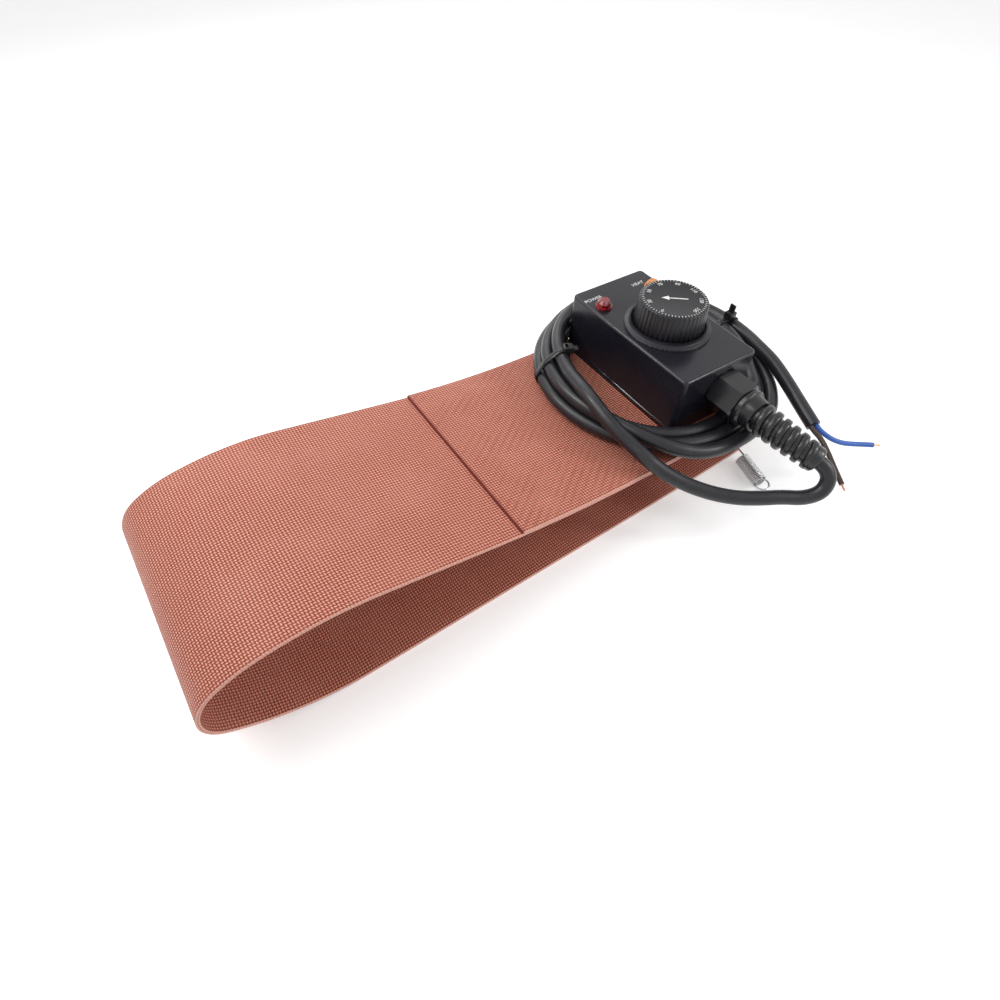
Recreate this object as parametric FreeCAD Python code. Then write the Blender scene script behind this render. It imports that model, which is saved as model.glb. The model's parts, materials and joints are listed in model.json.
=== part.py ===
import FreeCAD, Part
import os
from math import atan2, cos, degrees, hypot, pi, radians, sin, sqrt, tan

Vec = FreeCAD.Vector
UP = Vec(0, 0, 1)
FULL_TURN = 360.0

# Silicone band heater with a thermostat box and its coiled mains cable, in millimetres.
# The strap lies as a flattened loop: its free end is on the ground, the fold is at -X,
# and the end that carries the box lies over it. X runs along the strap, Y across it.
# The origin is on the flat underside, halfway across the strap.

# Strap
BAND_WIDTH = 100.0
PLY = 0.9
FOIL = 0.2
COVER_SHEET = 1.2
COVER_SETBACK = 154.5
END_CORNER = 6.0
FLAT_END_X = 58.0

# Lie of the strap, from its free end round the fold to the box end
LIFT_RADIUS, LIFT_TURN = 1345.0, 3.7
FLAT_LENGTH = 137.7
FOOT_RADIUS, FOOT_TURN = 91.5, 38.0
NOSE_RADIUS, NOSE_TURN = 16.0, 52.0
CROWN_RADIUS, CROWN_TURN = 21.2, 63.0
BROW_RADIUS, BROW_TURN = 57.0, 19.0
TOP_RADIUS, TOP_TURN = 130.0, 20.8
SLOPE_LENGTH = 51.5
SAG_RADIUS, SAG_TURN = 536.0, 9.73
BOX_RUN = 77.1

# Heating foil
FOIL_EDGE = 7.0
FOIL_START = 26.0
FOIL_END_SETBACK = 26.0
TRACK_PITCH = 11.0
TRACK_GAP = 1.6

# Eyelets and the hooked springs
EYELET_BORE = 4.4
EYELET_FLANGE = 8.0
EYELET_WALL = 0.35
EYELET_SEAT = 0.02
EYELET_INSET = 6.0
WIRE = 0.95
SPRING_OD = 7.5
SPRING_TURNS = 18
SPRING_LEAN = 14.0
HOOK_REACH = 11.5
LOOP_RADIUS = 3.8
LOOP_STANDOFF = 1.5
LOOP_OPENING = 25.0
LOOP_FACES = 102.5
HOOK_SINK = 0.6
GROUND_GAP = 0.05

# Thermostat box, in its own frame: origin in the middle of its seat on the strap
BOX_SETBACK = 33.8
BOX_OFFSET_Y = 4.1
BOX_LENGTH = 83.0
BOX_WIDTH = 47.0
BOX_HEIGHT = 32.3
BOX_CORNER = 2.5
BOX_EDGE = 1.4
BOX_WALL = 2.2
BOX_TOP = 2.6
BASE_THICKNESS = 3.0
LIP = 1.6
LIP_HEIGHT = 4.0
SLIDE_GAP = 0.15

# Dial, knob and thermostat
KNOB_RADIUS = 17.5
KNOB_HEIGHT = 14.0
KNOB_TOP = 2.5
KNOB_SKIRT = 2.2
KNOB_EDGE = 0.8
GRIP_COUNT = 44
GRIP_DEPTH = 0.45
HUB_RADIUS = 5.5
HUB_LENGTH = 8.5
SPINDLE_RADIUS = 3.0
SPINDLE_FLAT = 2.2
RUNNING_GAP = 0.05
FIT_GAP = 0.05
DIAL_RADIUS = 21.25
DIAL_STEP_RADIUS = 19.2
DIAL_RIM = 1.4
DIAL_HEIGHT = 3.0
DIAL_FLOOR = 1.0
DIAL_GAP = 0.4
BUSH_RADIUS = 4.8
BUSH_PROUD = 3.5
THERMOSTAT_WIDTH = 30.0
THERMOSTAT_LENGTH = 34.0
THERMOSTAT_FLOOR = 13.7
THERMOSTAT_FOOT = 2.0
SCREW_SPACING = 22.0
SCREW_RADIUS = 2.0
SCREW_HEAD_RADIUS = 3.4
SCREW_HEAD = 1.8
SCREW_LENGTH = 9.0

# Neon lamps
LAMP_SPREAD = 16.5
LAMP_FROM_END = 16.6
LENS_RADIUS = 3.5
LENS_PROUD = 4.0
LENS_FACETS = 12
LENS_FLANGE = 4.3
LENS_FLANGE_HEIGHT = 0.9
LAMP_STEM = 2.9
LAMP_FLOOR = 15.7

# Inside the box
BLOCK_WIDTH = 20.0
BLOCK_DEPTH = 13.0
BLOCK_HEIGHT = 8.0
BLOCK_FROM_END = 15.5
BLOCK_POLE = 9.0
BLOCK_ENTRY = 3.6
BLOCK_SCREW = 2.8
BULB_RADIUS = 2.5
BULB_LENGTH = 50.0
BULB_X = -15.5
CAPILLARY_RADIUS = 0.6
CAPILLARY_ROOM = 2.5
LEAD_RADIUS = 0.9
LEAD_DEPTH = 2.0

# Gland with its spiral bend guard
GLAND_X = 4.5
GLAND_FROM_TOP = 14.5
HEX_FLATS = 19.0
HEX_LENGTH = 15.5
HEX_BEVEL = 1.2
GLAND_THREAD = 8.0
THREAD_RADIUS = 7.0
SEAL_THICKNESS = 0.8
NUT_THICKNESS = 4.0
NUT_ROOM = 0.4
COLLAR_RADIUS = 9.6
COLLAR_LENGTH = 3.0
SHOULDER_RADIUS = 7.6
SHOULDER_LENGTH = 4.0
GUARD_LENGTH = 33.0
GUARD_SIDEWAYS = 6.5
GUARD_DROOP = 5.2
RING_COUNT = 7
RING_WIDTH = 3.1
RING_SIDES = 20
RING_START_RADIUS = 7.5
RING_END_RADIUS = 6.2
SLEEVE_WALL = 0.9
COLLAR_EDGE = 0.8
CUFF_LENGTH = 4.0

# Cable
CABLE_DIAMETER = 7.0
CABLE_SIDES = 12
CORE_SIDES = 8
CABLE_END = 9.0
CORE_DIAMETER = 2.5
COPPER_DIAMETER = 1.1
COPPER_LENGTH = 4.0
CABLE_GAP = 0.1
STRAIGHT_EXIT = 2.6
COIL_X = 1.5
COIL_Y = 0.3
COIL_LIFT = 1.0
COIL_CLEARANCE = 0.4
COIL_PLY = 7.15
COIL_FRONT_WIDTH = 16.9
COIL_FRONT_GAP = 2.2
FRONT_START, FRONT_END = -138.0, -66.0
RIGHT_SHIFT = 3.6
RIGHT_END = -8.0
NESTLED_HEIGHT = 6.1
NESTLED_TUCK = 3.7
INNER_STRAND = 3.2
TOP_START, TAIL_EXIT = -150.0, -14.0
TOP_END = -60.0
RISE_START, RISE_END = 48.0, 140.0
CROSSING_WIDTH = 20.0
CROSSING_BEYOND = 13.9
CROSSING_HEIGHT = 17.3

# Cable ties, by the direction in which they lie from the middle of the coil
TIE_LEFT, TIE_BACK = 157.0, -2.0
TIE_WIDTH = 3.6
TIE_THICKNESS = 0.6
TIE_GAP = 0.1
TIE_HEAD_LENGTH, TIE_HEAD_WIDTH, TIE_HEAD_HEIGHT = 5.0, 4.6, 4.0
TIE_HEAD_SINK = 0.3
TIE_TAIL = 5.0
TIE_STRAP_END = 1.2
TIE_LEFT_HEAD, TIE_BACK_HEAD = 3.0, 8.0

# Routes of the free cable, chosen by hand: direction from the middle of the coil in degrees,
# distance outside the coil's inner radius, height above the box's seat, or above the gland
# for the fold that leaves its guard
LEAD_EXIT = 3.0
LEAD_FOLD = [(-83.9, 56.3, -8.7), (-84.8, 58.5, -12.4), (-86.6, 58.6, -16.5)]
LEAD_ROUTE = [
    (-89.7, 55.0, -1.8), (-94.1, 49.8, -1.5), (-99.3, 45.9, -2.1), (-105.2, 42.1, -2.4),
    (-110.9, 38.1, -2.1), (-117.0, 34.2, -0.8), (-123.1, 30.9, 1.5), (-129.2, 28.3, 4.9),
    (-135.4, 25.7, 9.3), (-142.6, 21.7, 14.0)]
TAIL_ROUTE = [(-25.9, 9.0, 12.0), (-38.0, 13.4, 11.9), (-49.9, 19.8, 10.1), (-59.0, 28.2, 7.5)]
TAIL_END = (-65.0, 37.3, 4.7)
BLUE_ROUTE = [
    (-65.6, 43.0, 3.2), (-65.5, 47.5, 1.6), (-64.5, 52.1, 0.2), (-63.0, 56.7, -0.6),
    (-61.3, 61.9, -1.0)]
BLUE_END = (-60.1, 66.8, -1.2)
BROWN_ROUTE = [(-67.7, 43.1, 2.4), (-71.2, 49.3, 0.7), (-74.8, 55.5, -0.8)]
BROWN_END = (-77.8, 61.8, -1.9)
CORE_SPREAD = 1.5


class Stretch:
    """Part of the strap's lie: a straight run, or a bend of one radius towards the loop's inside."""

    def __init__(self, length, radius=0.0):
        self.length = length
        self.radius = radius


def run(length):
    return Stretch(length)


def bend(radius, turn):
    return Stretch(abs(radius) * radians(turn), radius)


LIE = [
    bend(LIFT_RADIUS, LIFT_TURN), run(FLAT_LENGTH), bend(FOOT_RADIUS, FOOT_TURN),
    bend(NOSE_RADIUS, NOSE_TURN), bend(CROWN_RADIUS, CROWN_TURN), bend(BROW_RADIUS, BROW_TURN),
    bend(TOP_RADIUS, TOP_TURN), run(SLOPE_LENGTH), bend(-SAG_RADIUS, SAG_TURN), run(BOX_RUN)]
BAND_LENGTH = sum(stretch.length for stretch in LIE)
LIE_START = (FLAT_END_X + LIFT_RADIUS * sin(radians(LIFT_TURN)),
             LIFT_RADIUS * (1 - cos(radians(LIFT_TURN))), pi + radians(LIFT_TURN))


def travel(pose, stretch, distance):
    """Place and heading in the XZ plane after going some way along one stretch."""
    x, z, heading = pose
    if stretch.radius == 0:
        return x + distance * cos(heading), z + distance * sin(heading), heading
    centre_x = x + stretch.radius * sin(heading)
    centre_z = z - stretch.radius * cos(heading)
    heading -= distance / stretch.radius
    return (centre_x - stretch.radius * sin(heading),
            centre_z + stretch.radius * cos(heading), heading)


def pose_at(station):
    """Place and heading on the strap's outer face, at a distance from its free end."""
    pose = LIE_START
    for stretch in LIE:
        if station <= stretch.length:
            return travel(pose, stretch, station)
        pose = travel(pose, stretch, stretch.length)
        station -= stretch.length
    return travel(pose, run(0), station)


def inside(pose, depth, y):
    """The point a depth below the outer face, towards the inside of the loop."""
    x, z, heading = pose
    return Vec(x + depth * sin(heading), y, z - depth * cos(heading))


def face_line(depth, start, end, y):
    """Edges that follow the strap at one depth between two stations."""
    edges = []
    pose = LIE_START
    passed = 0.0
    for stretch in LIE:
        first = max(start - passed, 0.0)
        last = min(end - passed, stretch.length)
        if last - first > 0.001:
            points = [inside(travel(pose, stretch, first + part * (last - first)), depth, y)
                      for part in (0.0, 0.5, 1.0)]
            if stretch.radius == 0:
                edges.append(Part.LineSegment(points[0], points[2]).toShape())
            else:
                edges.append(Part.Arc(points[0], points[1], points[2]).toShape())
        pose = travel(pose, stretch, stretch.length)
        passed += stretch.length
    return edges


def strip(depth_from, depth_to, start, end, edge_margin=0.0):
    """A layer of the strap between two depths and two stations."""
    y = -BAND_WIDTH / 2 + edge_margin
    outer = face_line(depth_from, start, end, y)
    inner = face_line(depth_to, start, end, y)
    ends = [Part.LineSegment(inside(pose_at(s), depth_from, y), inside(pose_at(s), depth_to, y)).toShape()
            for s in (start, end)]
    wire = Part.Wire(Part.__sortEdges__(outer + inner + ends))
    return Part.Face(wire).extrude(Vec(0, BAND_WIDTH - 2 * edge_margin, 0))


def strap_frame(station, depth, y=0.0):
    """A placement on the strap: X along it, Z out of its outer face."""
    pose = pose_at(station)
    turn = FreeCAD.Rotation(Vec(0, 1, 0), -degrees(pose[2]))
    if cos(pose[2]) < 0:
        turn = FreeCAD.Rotation(Vec(0, 1, 0), 180 - degrees(pose[2]))
    return FreeCAD.Placement(inside(pose, depth, y), turn)


def placed(shape, placement):
    shape = shape.copy()
    shape.Placement = placement.multiply(shape.Placement)
    return shape


def box_between(low, high):
    return Part.makeBox(high.x - low.x, high.y - low.y, high.z - low.z, low)


def centred_box(size, centre):
    return Part.makeBox(size.x, size.y, size.z, centre - size * 0.5)


def end_notches(station, direction):
    """Cutters that round the two corners at one end of the strap."""
    notches = []
    for side in (-1, 1):
        block = centred_box(Vec(2 * END_CORNER, 2 * END_CORNER, 20), Vec(0, side * BAND_WIDTH / 2, 0))
        pin_at = Vec(-direction * END_CORNER, side * (BAND_WIDTH / 2 - END_CORNER), -10)
        keep = Part.makeCylinder(END_CORNER, 20, pin_at)
        far = centred_box(Vec(2 * END_CORNER, 4 * END_CORNER, 20),
                          Vec(-direction * 2 * END_CORNER, side * BAND_WIDTH / 2, 0))
        near = centred_box(Vec(4 * END_CORNER, 2 * END_CORNER, 20),
                           Vec(0, side * (BAND_WIDTH / 2 - 2 * END_CORNER), 0))
        notches.append(placed(block.cut([keep, far, near]), strap_frame(station, 0)))
    return notches


def eyelet_places():
    """Two placements at each end of the strap, on its outer face."""
    inset_y = BAND_WIDTH / 2 - EYELET_INSET
    free = [strap_frame(EYELET_INSET, 0, side * inset_y) for side in (-1, 1)]
    boxed = [strap_frame(BAND_LENGTH - EYELET_INSET, 0, side * inset_y) for side in (-1, 1)]
    return free, boxed


def eyelet_holes():
    radius = EYELET_BORE / 2 + EYELET_WALL
    free, boxed = eyelet_places()
    return [placed(Part.makeCylinder(radius, 20, Vec(0, 0, -10)), place) for place in free + boxed]


def eyelet(low, high):
    """A rolled metal eyelet round the axis Z, gripping the layers from low to high."""
    low -= EYELET_SEAT
    high += EYELET_SEAT
    top = Part.makeCylinder(EYELET_FLANGE / 2, EYELET_WALL, Vec(0, 0, high))
    bottom = Part.makeCylinder(EYELET_FLANGE / 2, EYELET_WALL, Vec(0, 0, low - EYELET_WALL))
    outer = Part.makeCylinder(EYELET_BORE / 2 + EYELET_WALL, high - low, Vec(0, 0, low))
    bore = Part.makeCylinder(EYELET_BORE / 2, high - low + 4, Vec(0, 0, low - 2))
    return outer.fuse([top, bottom]).removeSplitter().cut(bore)


def make_eyelets():
    free, boxed = eyelet_places()
    solids = [placed(eyelet(0, 2 * PLY), place) for place in free]
    solids += [placed(eyelet(-2 * PLY, COVER_SHEET), place) for place in boxed]
    return Part.makeCompound(solids)


def make_element():
    """Etched foil that runs to and fro across the strap."""
    first = FOIL_START
    last = BAND_LENGTH - FOIL_END_SETBACK
    foil = strip(PLY, PLY + FOIL, first, last, FOIL_EDGE)
    slots = []
    count = int((last - first) / TRACK_PITCH)
    pitch = (last - first) / count
    reach = BAND_WIDTH - 2 * FOIL_EDGE
    for index in range(1, count):
        side = 1 if index % 2 else -1
        slot = centred_box(Vec(TRACK_GAP, reach, 3), Vec(0, side * pitch / 2, -PLY))
        slots.append(placed(slot, strap_frame(first + index * pitch, 0)))
    return foil.cut(slots)


def make_band():
    """The outer ply, the inner ply with the foil's bed, and the foil."""
    element = make_element()
    notches = end_notches(0, 1) + end_notches(BAND_LENGTH, 1)
    holes = eyelet_holes()
    outer = strip(0, PLY, 0, BAND_LENGTH).cut(notches + holes + lead_holes())
    inner = strip(PLY, 2 * PLY, 0, BAND_LENGTH).cut(notches + holes).cut(element)
    return outer, inner, element


BLOCK_Y = BOX_LENGTH / 2 - BLOCK_FROM_END
GLAND_HEIGHT = BOX_HEIGHT - GLAND_FROM_TOP
THERMOSTAT_HEIGHT = BOX_HEIGHT - BOX_TOP - THERMOSTAT_FLOOR
COIL_INNER = hypot(BOX_LENGTH, BOX_WIDTH) / 2 + COIL_CLEARANCE
BOX_STATION = BAND_LENGTH - BOX_SETBACK
BOX_FRAME = strap_frame(BOX_STATION, -COVER_SHEET, BOX_OFFSET_Y)
KNOB_Y = -BOX_OFFSET_Y


def make_cover():
    holes = [placed(Part.makeCylinder(EYELET_BORE / 2 + EYELET_WALL, 20, Vec(0, 0, -10)), place)
             for place in eyelet_places()[1]]
    sheet = strip(-COVER_SHEET, 0, BAND_LENGTH - COVER_SETBACK, BAND_LENGTH)
    return sheet.cut(end_notches(BAND_LENGTH, 1) + holes + lead_holes())


def lead_spots():
    """Where the foil's two leads rise, in the box's frame."""
    return [Vec(side * BLOCK_POLE / 2, BLOCK_Y, 0) for side in (-1, 1)]


def lead_holes():
    return [placed(Part.makeCylinder(LEAD_RADIUS + CABLE_GAP, 12, spot - UP * (COVER_SHEET + PLY)), BOX_FRAME)
            for spot in lead_spots()]


def make_leads():
    bottom = COVER_SHEET + PLY
    top = BASE_THICKNESS + LEAD_DEPTH
    return Part.makeCompound([Part.makeCylinder(LEAD_RADIUS, bottom + top, spot - UP * bottom)
                              for spot in lead_spots()])


def rounded_block(length_x, length_y, height, corner, low_z=0.0):
    """An upright block with rounded vertical corners, centred on Z."""
    block = Part.makeBox(length_x, length_y, height, Vec(-length_x / 2, -length_y / 2, low_z))
    upright = [edge for edge in block.Edges
               if abs(edge.Vertexes[0].Point.z - edge.Vertexes[1].Point.z) > height / 2]
    return block.makeFillet(corner, upright)


def make_base():
    """The floor of the box, with a lip that lines up the housing and bosses for its clips."""
    plate = rounded_block(BOX_WIDTH, BOX_LENGTH, BASE_THICKNESS, BOX_CORNER)
    inner_x = BOX_WIDTH - 2 * (BOX_WALL + SLIDE_GAP)
    inner_y = BOX_LENGTH - 2 * (BOX_WALL + SLIDE_GAP)
    lip = rounded_block(inner_x, inner_y, LIP_HEIGHT, 1.0, BASE_THICKNESS)
    lip = lip.cut(rounded_block(inner_x - 2 * LIP, inner_y - 2 * LIP, LIP_HEIGHT, 0.8, BASE_THICKNESS))
    lip = lip.cut(nut_room())
    holes = [Part.makeCylinder(LEAD_RADIUS + CABLE_GAP, BASE_THICKNESS, spot) for spot in lead_spots()]
    return plate.fuse([lip] + clips()).removeSplitter().cut(holes)


def nut_room():
    """The gap in the lip that lets the gland's locknut down to the wall."""
    half = locknut_corner() + NUT_ROOM
    low = Vec(GLAND_X - half, -BOX_LENGTH / 2, BASE_THICKNESS)
    return box_between(low, low + Vec(2 * half, BOX_WALL + NUT_THICKNESS + NUT_ROOM, BOX_HEIGHT))


def clips(gap=0.0):
    """Hooked tongues on the long sides, or with a gap the windows that they catch in."""
    shapes = []
    lip_face = BOX_WIDTH / 2 - BOX_WALL - SLIDE_GAP
    for side in (-1, 1):
        for y in (-BOX_LENGTH / 4, BOX_LENGTH / 4):
            centre = Vec(side * lip_face, y, BASE_THICKNESS + LIP_HEIGHT - 1.0)
            shapes.append(centred_box(Vec(1.6 + 2 * gap, 8 + 2 * gap, 1.2 + 2 * gap), centre))
    return shapes


def panel_holes():
    """Openings in the top of the housing for the bush, the screws and the lamps."""
    low = BOX_HEIGHT - BOX_TOP - 1
    holes = [Part.makeCylinder(BUSH_RADIUS + CABLE_GAP, 8, Vec(0, KNOB_Y, low))]
    holes += [Part.makeCylinder(SCREW_RADIUS + CABLE_GAP, 8, spot + UP * low) for spot in screw_spots()]
    holes += [Part.makeCylinder(LAMP_STEM + CABLE_GAP, 8, spot + UP * low) for spot in lamp_spots()]
    return holes


def screw_spots():
    return [Vec(0, KNOB_Y + side * SCREW_SPACING / 2, 0) for side in (-1, 1)]


def lamp_spots():
    return [Vec(side * LAMP_SPREAD, BOX_LENGTH / 2 - LAMP_FROM_END, 0) for side in (-1, 1)]


def gland_tube(radius, start, length):
    """A round bar on the gland's axis; start is measured outwards from the box's near face."""
    face = Vec(GLAND_X, -BOX_LENGTH / 2 - start, GLAND_HEIGHT)
    return Part.makeCylinder(radius, length, face, Vec(0, -1, 0))


def make_housing():
    height = BOX_HEIGHT - BASE_THICKNESS
    shell = rounded_block(BOX_WIDTH, BOX_LENGTH, height, BOX_CORNER, BASE_THICKNESS)
    rim = [edge for edge in shell.Edges if all(v.Point.z > BOX_HEIGHT - 0.01 for v in edge.Vertexes)]
    shell = shell.makeFillet(BOX_EDGE, rim)
    hollow = rounded_block(BOX_WIDTH - 2 * BOX_WALL, BOX_LENGTH - 2 * BOX_WALL, height - BOX_TOP,
                           1.0, BASE_THICKNESS)
    cable_hole = gland_tube(THREAD_RADIUS + CABLE_GAP, -GLAND_THREAD, GLAND_THREAD + 1)
    return shell.cut([hollow, cable_hole] + panel_holes() + clips(SLIDE_GAP))


def make_dial_ring():
    z = BOX_HEIGHT
    rim = Part.makeCylinder(DIAL_RADIUS, DIAL_RIM, Vec(0, KNOB_Y, z))
    step = Part.makeCone(DIAL_STEP_RADIUS + 0.4, DIAL_STEP_RADIUS, DIAL_HEIGHT, Vec(0, KNOB_Y, z))
    well = Part.makeCylinder(KNOB_RADIUS + DIAL_GAP, DIAL_HEIGHT, Vec(0, KNOB_Y, z + DIAL_FLOOR))
    bore = Part.makeCylinder(BUSH_RADIUS + CABLE_GAP, DIAL_HEIGHT, Vec(0, KNOB_Y, z))
    holes = [Part.makeCylinder(SCREW_RADIUS + CABLE_GAP, DIAL_HEIGHT, spot + UP * z)
             for spot in screw_spots()]
    return rim.fuse(step).removeSplitter().cut([well, bore] + holes)


def knob_low():
    return BOX_HEIGHT + DIAL_FLOOR + DIAL_GAP


def make_knob():
    """A hollow moulded knob with a fluted rim and a hub bored for the flatted spindle."""
    low = knob_low()
    centre = Vec(0, KNOB_Y, low)
    body = Part.makeCylinder(KNOB_RADIUS, KNOB_HEIGHT, centre)
    top_rim = [edge for edge in body.Edges if all(v.Point.z > low + KNOB_HEIGHT - 0.1 for v in edge.Vertexes)]
    body = body.makeChamfer(KNOB_EDGE, top_rim)
    hollow = Part.makeCylinder(KNOB_RADIUS - KNOB_SKIRT, KNOB_HEIGHT - KNOB_TOP, centre)
    hub_low = low + KNOB_HEIGHT - KNOB_TOP - HUB_LENGTH
    hub = Part.makeCylinder(HUB_RADIUS, HUB_LENGTH, Vec(0, KNOB_Y, hub_low))
    knob = body.cut(hollow).fuse(hub).removeSplitter()
    socket = spindle_bar(SPINDLE_RADIUS + FIT_GAP, SPINDLE_FLAT + FIT_GAP, hub_low - 1,
                         spindle_top() + FIT_GAP)
    return knob.cut([socket] + grips(low))


def grips(low):
    """Fine upright flutes round the knob."""
    cutters = []
    for index in range(GRIP_COUNT):
        groove = centred_box(Vec(1.0, 1.0, KNOB_HEIGHT), Vec(0, 0, 0))
        groove.rotate(Vec(0, 0, 0), UP, 45)
        groove.translate(Vec(KNOB_RADIUS + 0.707 - GRIP_DEPTH, 0, low + KNOB_HEIGHT / 2))
        groove.rotate(Vec(0, 0, 0), UP, FULL_TURN * index / GRIP_COUNT)
        groove.translate(Vec(0, KNOB_Y, 0))
        cutters.append(groove)
    return cutters


def spindle_top():
    return knob_low() + KNOB_HEIGHT - KNOB_TOP


def spindle_bar(radius, flat, low, high):
    bar = Part.makeCylinder(radius, high - low, Vec(0, KNOB_Y, low))
    cutter = box_between(Vec(flat, KNOB_Y - 10, BOX_HEIGHT + BUSH_PROUD), Vec(10, KNOB_Y + 10, high + 1))
    return bar.cut(cutter)


def make_spindle():
    low = BOX_HEIGHT - BOX_TOP - THERMOSTAT_HEIGHT / 2
    return spindle_bar(SPINDLE_RADIUS, SPINDLE_FLAT, low, spindle_top())


def make_thermostat():
    """The switch body under the panel, with its bush round the spindle."""
    top = BOX_HEIGHT - BOX_TOP
    size = Vec(THERMOSTAT_WIDTH, THERMOSTAT_LENGTH, THERMOSTAT_HEIGHT)
    body = centred_box(size, Vec(0, KNOB_Y, top - size.z / 2))
    foot = centred_box(Vec(size.x * 0.7, size.y * 0.6, THERMOSTAT_FOOT),
                       Vec(0, KNOB_Y, THERMOSTAT_FLOOR - THERMOSTAT_FOOT / 2))
    bush = Part.makeCylinder(BUSH_RADIUS, BOX_TOP + BUSH_PROUD - SCREW_HEAD / 2, Vec(0, KNOB_Y, top))
    bore = Part.makeCylinder(SPINDLE_RADIUS + RUNNING_GAP, 30, Vec(0, KNOB_Y, top - size.z / 2 - 0.3))
    holes = [Part.makeCylinder(SCREW_RADIUS + CABLE_GAP, SCREW_LENGTH, spot + UP * (top - SCREW_LENGTH))
             for spot in screw_spots()]
    return body.fuse([foot, bush]).removeSplitter().cut([bore] + holes)


def make_screws():
    """Two screws that hold the thermostat and the dial ring to the panel."""
    seat = BOX_HEIGHT + DIAL_FLOOR
    screws = []
    for spot in screw_spots():
        shank = Part.makeCylinder(SCREW_RADIUS, SCREW_LENGTH, spot + UP * (seat - SCREW_LENGTH))
        head = Part.makeCylinder(SCREW_HEAD_RADIUS, SCREW_HEAD, spot + UP * seat)
        slot = centred_box(Vec(0.8, 8, 1.6), spot + UP * (seat + SCREW_HEAD))
        screws.append(head.fuse(shank).removeSplitter().cut(slot))
    return Part.makeCompound(screws)


def lens():
    """A faceted lens with a round flange that seats on the panel."""
    flange = Part.makeCylinder(LENS_FLANGE, LENS_FLANGE_HEIGHT)
    corners = [Vec(cos(2 * pi * k / LENS_FACETS), sin(2 * pi * k / LENS_FACETS), 0)
               for k in range(LENS_FACETS + 1)]
    wires = []
    for radius, z in ((LENS_RADIUS, 0), (LENS_RADIUS, LENS_PROUD * 0.6), (LENS_RADIUS * 0.62, LENS_PROUD)):
        wires.append(Part.makePolygon([corner * radius + UP * z for corner in corners]))
    dome = Part.makeLoft(wires, True, True)
    stem = Part.makeCylinder(LAMP_STEM, BOX_TOP, Vec(0, 0, -BOX_TOP))
    return flange.fuse([dome, stem]).removeSplitter()


def make_lamps():
    """Lens and lamp body for each of the two places."""
    pieces = []
    for spot in lamp_spots():
        glass = lens()
        glass.translate(spot + UP * BOX_HEIGHT)
        length = BOX_HEIGHT - BOX_TOP - LAMP_FLOOR
        body = Part.makeCylinder(LAMP_STEM + 1.2, length, spot + UP * LAMP_FLOOR)
        legs = [Part.makeCylinder(0.5, 4, spot + Vec(side * 1.8, 0, LAMP_FLOOR - 4)) for side in (-1, 1)]
        pieces.append((glass, body.fuse(legs)))
    return pieces


def make_block():
    """A two-pole terminal block that stands on the floor of the box."""
    size = Vec(BLOCK_WIDTH, BLOCK_DEPTH, BLOCK_HEIGHT)
    top = BASE_THICKNESS + size.z
    block = centred_box(size, Vec(0, BLOCK_Y, BASE_THICKNESS + size.z / 2))
    cuts = [centred_box(Vec(1.6, size.y + 2, size.z), Vec(0, BLOCK_Y, top))]
    for spot in lead_spots():
        entry = Vec(spot.x, BLOCK_Y - size.y / 2, BASE_THICKNESS + BLOCK_ENTRY)
        cuts.append(Part.makeCylinder(SCREW_RADIUS, BLOCK_SCREW, spot + UP * (top - BLOCK_SCREW)))
        cuts.append(Part.makeCylinder(CORE_DIAMETER / 2 + CABLE_GAP, size.y / 2, entry, Vec(0, 1, 0)))
        cuts.append(Part.makeCylinder(LEAD_RADIUS + CABLE_GAP, LEAD_DEPTH, spot + UP * BASE_THICKNESS))
    return block.cut(cuts)


def make_block_screws():
    top = BASE_THICKNESS + BLOCK_HEIGHT
    screws = []
    for spot in lead_spots():
        foot = spot + UP * (top - BLOCK_SCREW)
        screw = Part.makeCylinder(SCREW_RADIUS - FIT_GAP, BLOCK_SCREW - 0.6, foot)
        screws.append(screw.cut(centred_box(Vec(0.6, 6, 1.2), foot + UP * (BLOCK_SCREW - 0.6))))
    return Part.makeCompound(screws)


def make_bulb():
    low = Vec(BULB_X, -BULB_LENGTH / 2, BASE_THICKNESS + BULB_RADIUS)
    bar = Part.makeCylinder(BULB_RADIUS, BULB_LENGTH, low, Vec(0, 1, 0))
    return bar.makeChamfer(1.0, [edge for edge in bar.Edges if len(edge.Vertexes) == 1])


def capillary_route():
    """From the end of the bulb, over the terminal block, to the back of the thermostat body."""
    z = BASE_THICKNESS + BULB_RADIUS
    end = BULB_LENGTH / 2
    behind = BLOCK_Y + BLOCK_DEPTH / 2 + CAPILLARY_ROOM
    over = BASE_THICKNESS + BLOCK_HEIGHT + CAPILLARY_ROOM
    rise = THERMOSTAT_FLOOR + 4
    return [Vec(BULB_X, end, z), Vec(BULB_X, (end + behind) / 2, z), Vec(BULB_X / 2, behind, z + 3),
            Vec(-2, behind - 1, over), Vec(0, BLOCK_Y - 1, rise - 0.7),
            Vec(0, KNOB_Y + THERMOSTAT_LENGTH / 2, rise)]


def arc_radius(before, corner, after):
    """The largest tangent arc that the two runs allow, as cable bends are."""
    first = corner - before
    second = after - corner
    turn = first.getAngle(second)
    return 0.45 * min(first.Length, second.Length) / tan(turn / 2)


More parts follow.
